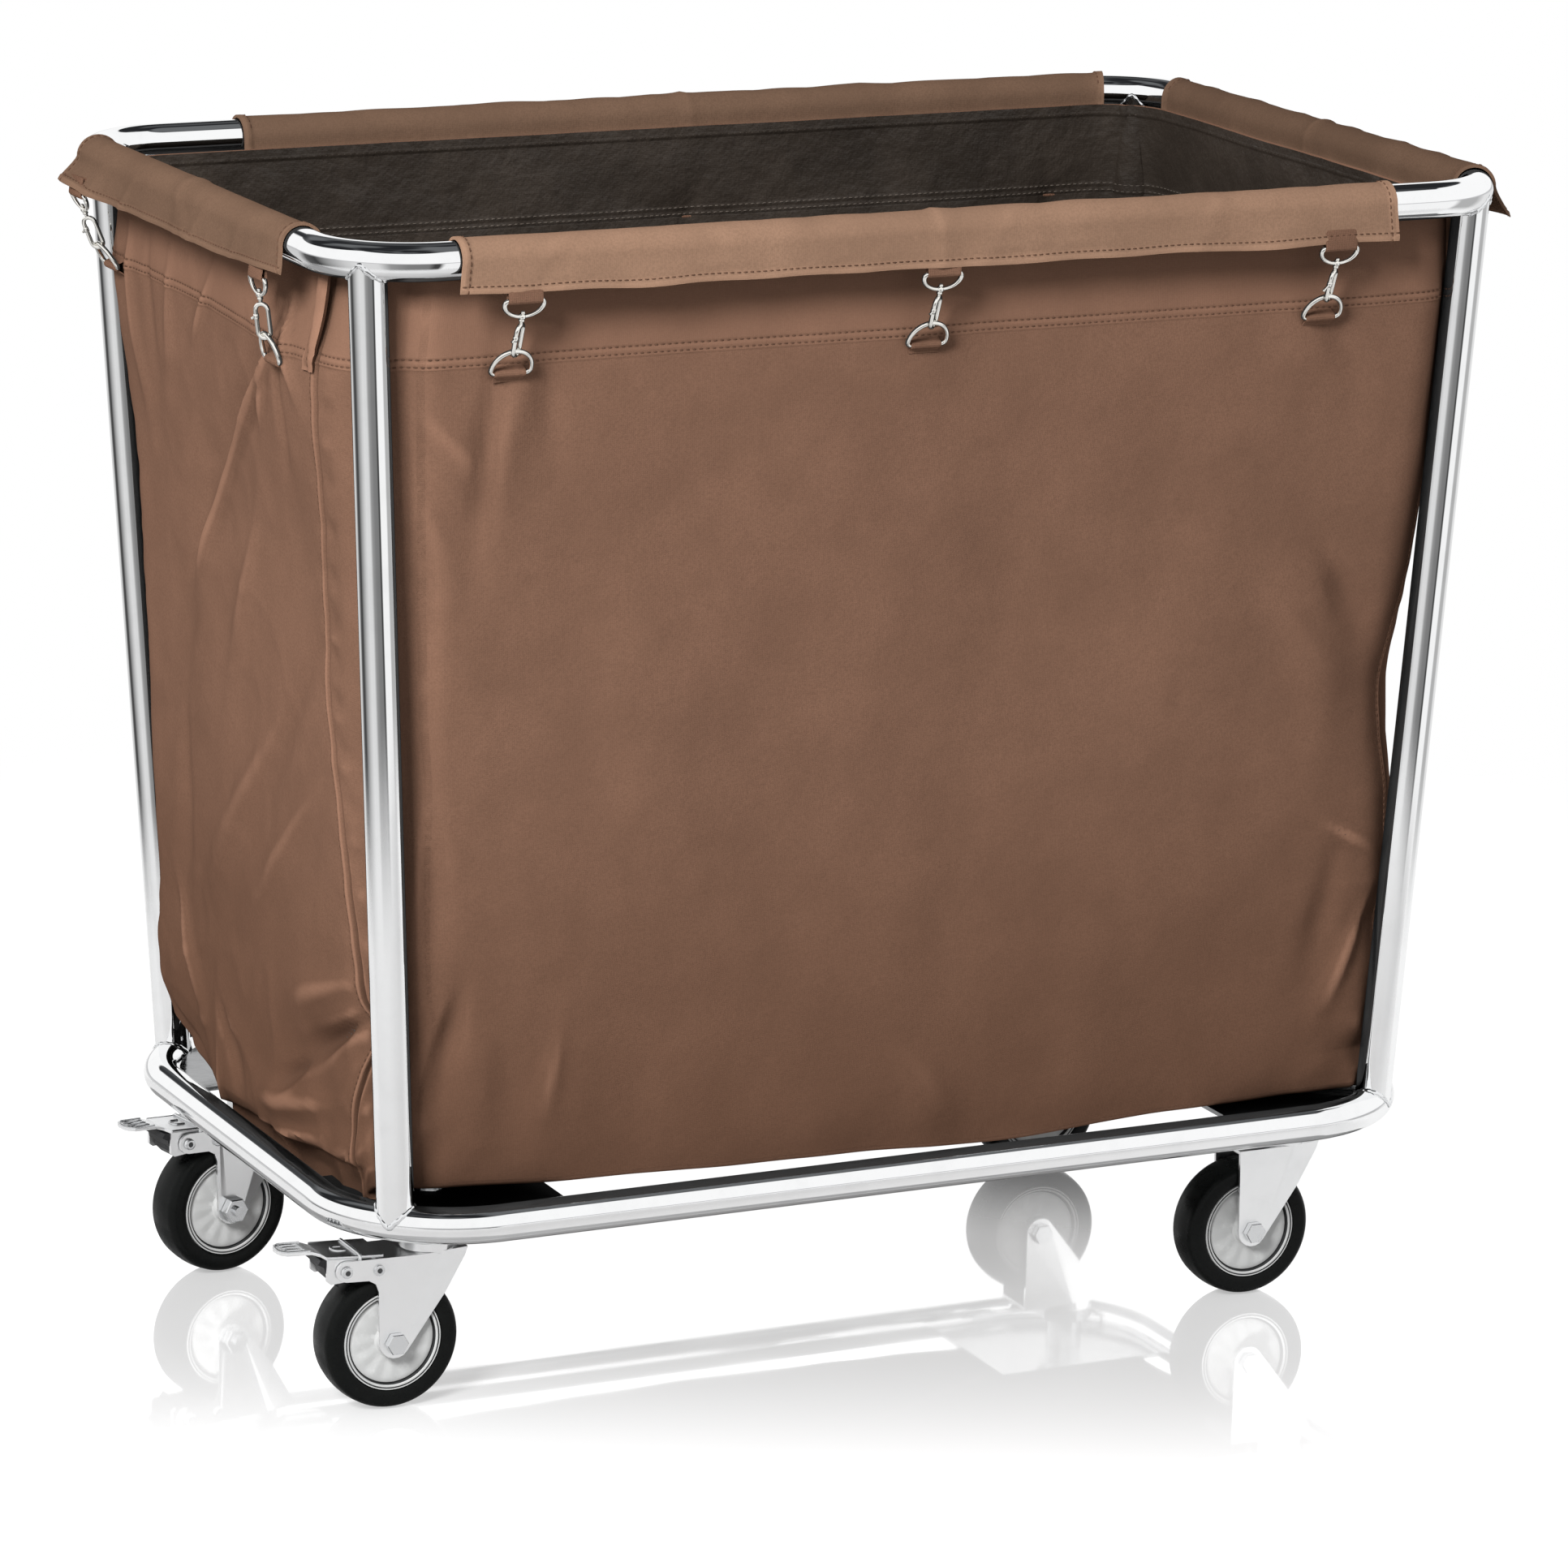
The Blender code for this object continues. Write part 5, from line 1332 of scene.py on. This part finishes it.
def welded_copy(node):
    """A bmesh copy of a CAD node with its split points joined and its flat faces whole."""
    bm = bmesh.new()
    bm.from_mesh(frame["nodes"][node].data)
    bmesh.ops.remove_doubles(bm, verts=bm.verts, dist=1e-6)
    bmesh.ops.dissolve_limit(bm, angle_limit=math.radians(1.0), verts=bm.verts, edges=bm.edges)
    return bm


def fork(corner, place, looks):
    """The pressed fork, its legs folded inward along a crease towards the front."""
    bm = welded_copy(f"caster_{corner}_fork")
    bmesh.ops.transform(bm, matrix=place.inverted(), verts=bm.verts)
    crease = Vector((0.0, 0.0, 0.1120)), Vector((-0.0230, 0.0, 0.0500))
    along = (crease[1] - crease[0]).normalized()
    normal = Vector((-along.z, 0.0, along.x))
    if normal.x < 0:
        normal.negate()
    geometry = bm.verts[:] + bm.edges[:] + bm.faces[:]
    bmesh.ops.bisect_plane(bm, geom=geometry, plane_co=crease[0], plane_no=normal, dist=1e-6)
    for vert in bm.verts:
        ahead = (vert.co - crease[0]).dot(normal)
        if ahead > 0 and abs(vert.co.y) > 0.0165 and vert.co.z < 0.1125:
            vert.co.y -= math.copysign(ahead * 0.24, vert.co.y)
    bmesh.ops.transform(bm, matrix=place, verts=bm.verts)
    made = piece(f"caster_{corner}_pressed_fork", from_bmesh("fork", bm), f"caster_{corner}",
                 [looks["zinc"]], 30)
    soften(made, 0.0005)
    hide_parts(f"caster_{corner}_fork")


def ribbed_pedal(corner, place, looks):
    """The foot pedal: a sloped tread with turned-down flanges, a strap ridge, and a ribbed tongue."""
    bm = welded_copy(f"brake_{corner}_pedal")
    made = piece(f"brake_{corner}_pressed_pedal", from_bmesh("pedal", bm), f"pedal_{corner}",
                 [looks["zinc"]], 30)
    soften(made, 0.0005)
    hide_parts(f"brake_{corner}_pedal")
    parts = []
    for y in (-0.0058, 0.0, 0.0058):
        line = [(-0.0935 - 0.0155 * t, y, 0.1207 + 0.0008 * t) for t in np.linspace(0, 1, 9)]
        parts.append(tube_mesh("rib", line, [0.0004, 0.0011] + [0.0013] * 5 + [0.0011, 0.0004], 10, False))
    rim = [(-0.0920, -0.0108, 0.1207), (-0.1080, -0.0104, 0.1213), (-0.1112, -0.0080, 0.1214),
           (-0.1127, -0.0035, 0.1214)]
    rim += [(x, -y, z) for x, y, z in reversed(rim)]
    parts.append(tube_mesh("rim", rim, 0.0009, 10, False))
    for y in (-0.0184, 0.0184):
        edge = [(-0.0415 - 0.0405 * t, y, 0.1142 + 0.0022 * t) for t in np.linspace(0, 1, 7)]
        parts.append(tube_mesh("flange", edge, 0.0012, 10, False))
    strap = [(-0.0186, 0.1120), (-0.0190, 0.1158)] + [(y, 0.1166) for y in np.linspace(-0.0175, 0.0175, 9)]
    strap = [(-0.0585, y, z) for y, z in strap + [(0.0190, 0.1158), (0.0186, 0.1120)]]
    parts.append(tube_mesh("strap", strap, 0.0014, 10, False))
    bow = [(-0.0640, -0.0050, 0.1162)]
    for a in np.radians(np.linspace(0, 180, 13)):
        bow.append((-0.0690 - 0.0035 * math.sin(a), -0.0050 * math.cos(a), 0.1166))
    bow.append((-0.0640, 0.0050, 0.1162))
    parts.append(tube_mesh("bow", bow, 0.0010, 10, False))
    mesh = merged("pedal_ribs", parts)
    mesh.transform(place)
    piece(f"brake_{corner}_pedal_ribs", mesh, f"pedal_{corner}", [looks["bolt"]], 60)


def casters(looks):
    """Each caster: fork, wheel, brake and swivel, on their CAD bodies."""
    for corner in CORNERS:
        place, wheel = caster_frame(corner)
        for name, mesh, look, slot in (("tyre", tyre_mesh(), "rubber", "tyre_rubber"),
                                       ("hub", hub_mesh(), "grey", "grey_plastic")):
            if name == "hub":
                paint_groove_shade(mesh)
            mesh.transform(wheel)
            surface = [looks[look]] + ([looks["groove"]] if name == "hub" else [])
            made = piece(f"caster_{corner}_moulded_{name}", mesh, f"wheel_{corner}", surface, 35)
            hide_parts(f"caster_{corner}_{name}")
        fork(corner, place, looks)
        for name in ("mount", "axle_bolt"):
            node = frame["nodes"][f"caster_{corner}_{name}"]
            soften(node, 0.0004)
            paint(node, looks["bolt"])
        if corner in BRAKED:
            ribbed_pedal(corner, place, looks)
            rivet_rims(corner, place, looks)
            node = frame["nodes"][f"brake_{corner}_cam"]
            soften(node, 0.0005)
            paint(node, looks["black"])


# ---------------------------------------------------------------- studio

KEY_SPOT, KEY_AIM, KEY_SIZE, KEY_POWER = (-3.15, -2.85, 3.1), (0.0, 0.0, 0.45), 1.35, 325.0
FILL_SPOT, FILL_AIM, FILL_SIZE, FILL_POWER = (2.7, 3.1, 1.0), (0.0, 0.0, 0.50), 1.6, 110.0
CAMERA_SPOT, CAMERA_LENS, SENSOR_WIDTH = (-2.0856, -4.466, 1.5959), 160.72, 36.0
CAMERA_YAW, CAMERA_PITCH, CAMERA_ROLL = -0.4385, 0.2435, -0.0159
FLOOR_R, FLOOR_FADE = 1.8, (1.15, 1.75)
DISC_SIDES, FLOOR_DROP = 96, 0.0002
# Brightness that metal sees below the horizon, by degrees round from the camera's side
LOW_BANDS = ((-180, 0.80), (-128, 0.62), (-114, 0.10), (-98, 0.05), (-84, 0.28), (-60, 0.60), (-45, 0.74),
             (-24, 0.72), (-12, 0.32), (6, 0.22), (26, 0.20), (32, 0.05), (37, 0.06), (42, 0.95),
             (78, 0.95), (86, 0.46), (112, 0.46), (128, 0.80), (180, 0.80))


def studio():
    """A white backdrop that metal sees as bands of light and dark under a dark ceiling."""
    world = bpy.data.worlds.new("studio")
    bpy.context.scene.world = world
    world.use_nodes = True
    tree = world.node_tree
    tree.nodes.clear()
    look = Look.__new__(Look)
    look.tree = tree
    coords = tree.nodes.new("ShaderNodeTexCoord").outputs["Generated"]
    split = look.node("ShaderNodeSeparateXYZ", {0: coords})
    angle = look.math("ARCTAN2", split.outputs["Y"], split.outputs["X"])
    toward_camera = math.radians(-115.1)
    turned = look.math("SUBTRACT", angle, toward_camera)
    wrapped = look.math("WRAP", turned, math.pi, -math.pi)
    share = look.math("MULTIPLY_ADD", wrapped, 0.5 / math.pi, 0.5)
    ramp = look.node("ShaderNodeValToRGB", {0: share})
    elements = ramp.color_ramp.elements
    while len(elements) > 1:
        elements.remove(elements[-1])
    elements[0].position = 0.0
    elements[0].color = (LOW_BANDS[0][1],) * 3 + (1.0,)
    for degrees, value in LOW_BANDS[1:]:
        stop = elements.new((degrees + 180) / 360)
        stop.color = (value,) * 3 + (1.0,)
    height = split.outputs["Z"]
    walls = look.mix(look.range(height, -0.10, -0.04, 0.0, 1.0), ramp.outputs["Color"],
                     (0.55, 0.55, 0.56, 1.0))
    walls = look.mix(look.range(height, -0.03, 0.01, 0.0, 1.0), walls, (1.0, 1.0, 1.0, 1.0))
    patches = look.node("ShaderNodeTexNoise",
                        {"Vector": coords, "Scale": 2.6, "Detail": 1.0}).outputs["Fac"]
    roof = look.mix(look.range(patches, 0.42, 0.62, 0.0, 1.0), (0.02, 0.021, 0.023, 1.0),
                    (0.14, 0.145, 0.15, 1.0))
    behind = look.math("MULTIPLY", look.math("MAXIMUM", split.outputs["Y"], 0.0), 0.5)
    ceiling = look.mix(look.range(look.math("ADD", height, behind), 0.835, 0.855, 0.0, 1.0), walls, roof)
    light = look.node("ShaderNodeLightPath")
    seen = look.mix(light.outputs["Is Camera Ray"], ceiling, (1.0, 1.0, 1.0, 1.0))
    soft = look.mix(light.outputs["Is Diffuse Ray"], seen, (0.36, 0.36, 0.365, 1.0))
    back = look.node("ShaderNodeBackground", {"Color": soft, "Strength": 1.0})
    out = tree.nodes.new("ShaderNodeOutputWorld")
    tree.links.new(back.outputs[0], out.inputs[0])


def area_light(name, spot, target, size, power):
    """A soft square light aimed at a point, unseen in reflections."""
    data = bpy.data.lights.new(name, "AREA")
    data.shape, data.size, data.energy = "SQUARE", size, power
    item = bpy.data.objects.new(name, data)
    item.location = spot
    item.rotation_euler = (Vector(target) - Vector(spot)).to_track_quat("-Z", "Y").to_euler()
    item.visible_glossy = False
    item.visible_camera = False
    bpy.context.scene.collection.objects.link(item)


def stage_floor(material):
    """A round pale floor under the wheels."""
    bm = bmesh.new()
    bmesh.ops.create_circle(bm, cap_ends=True, segments=DISC_SIDES, radius=FLOOR_R)
    bmesh.ops.translate(bm, vec=(0, 0, -FLOOR_DROP), verts=bm.verts)
    floor = new_object("floor", from_bmesh("floor", bm), [material])


def camera():
    """The camera, on the long lens and tilt that match the viewing angle."""
    data = bpy.data.cameras.new("camera")
    data.sensor_width, data.lens = SENSOR_WIDTH, CAMERA_LENS
    data.clip_start, data.clip_end = 0.1, 50.0
    item = bpy.data.objects.new("camera", data)
    flat = math.cos(CAMERA_PITCH)
    ahead = Vector((math.sin(-CAMERA_YAW) * flat, math.cos(CAMERA_YAW) * flat, -math.sin(CAMERA_PITCH)))
    right = Vector((math.cos(CAMERA_YAW), math.sin(CAMERA_YAW), 0.0))
    down = ahead.cross(right)
    tilt, upright = math.sin(CAMERA_ROLL), math.cos(CAMERA_ROLL)
    right, down = right * upright + down * tilt, down * upright - right * tilt
    axes = Matrix((right, -down, -ahead)).transposed()
    item.matrix_world = Matrix.Translation(CAMERA_SPOT) @ axes.to_4x4()
    bpy.context.scene.collection.objects.link(item)
    bpy.context.scene.camera = item


def build():
    """Build the looks round the frame."""
    looks = make_looks()
    frame_tubes(looks)
    posts_and_welds(looks)
    corner_plates(looks)
    bag(looks)
    bag_sewing(looks)
    seam_fins(looks)
    for side in FLAPS:
        flap(side, looks)
    clips(looks)
    casters(looks)
    stage_floor(floor_look())
    studio()
    area_light("key", KEY_SPOT, KEY_AIM, KEY_SIZE, KEY_POWER)
    area_light("back_fill", FILL_SPOT, FILL_AIM, FILL_SIZE, FILL_POWER)
    camera()
    bpy.context.scene.view_settings.view_transform = "Standard"


build()
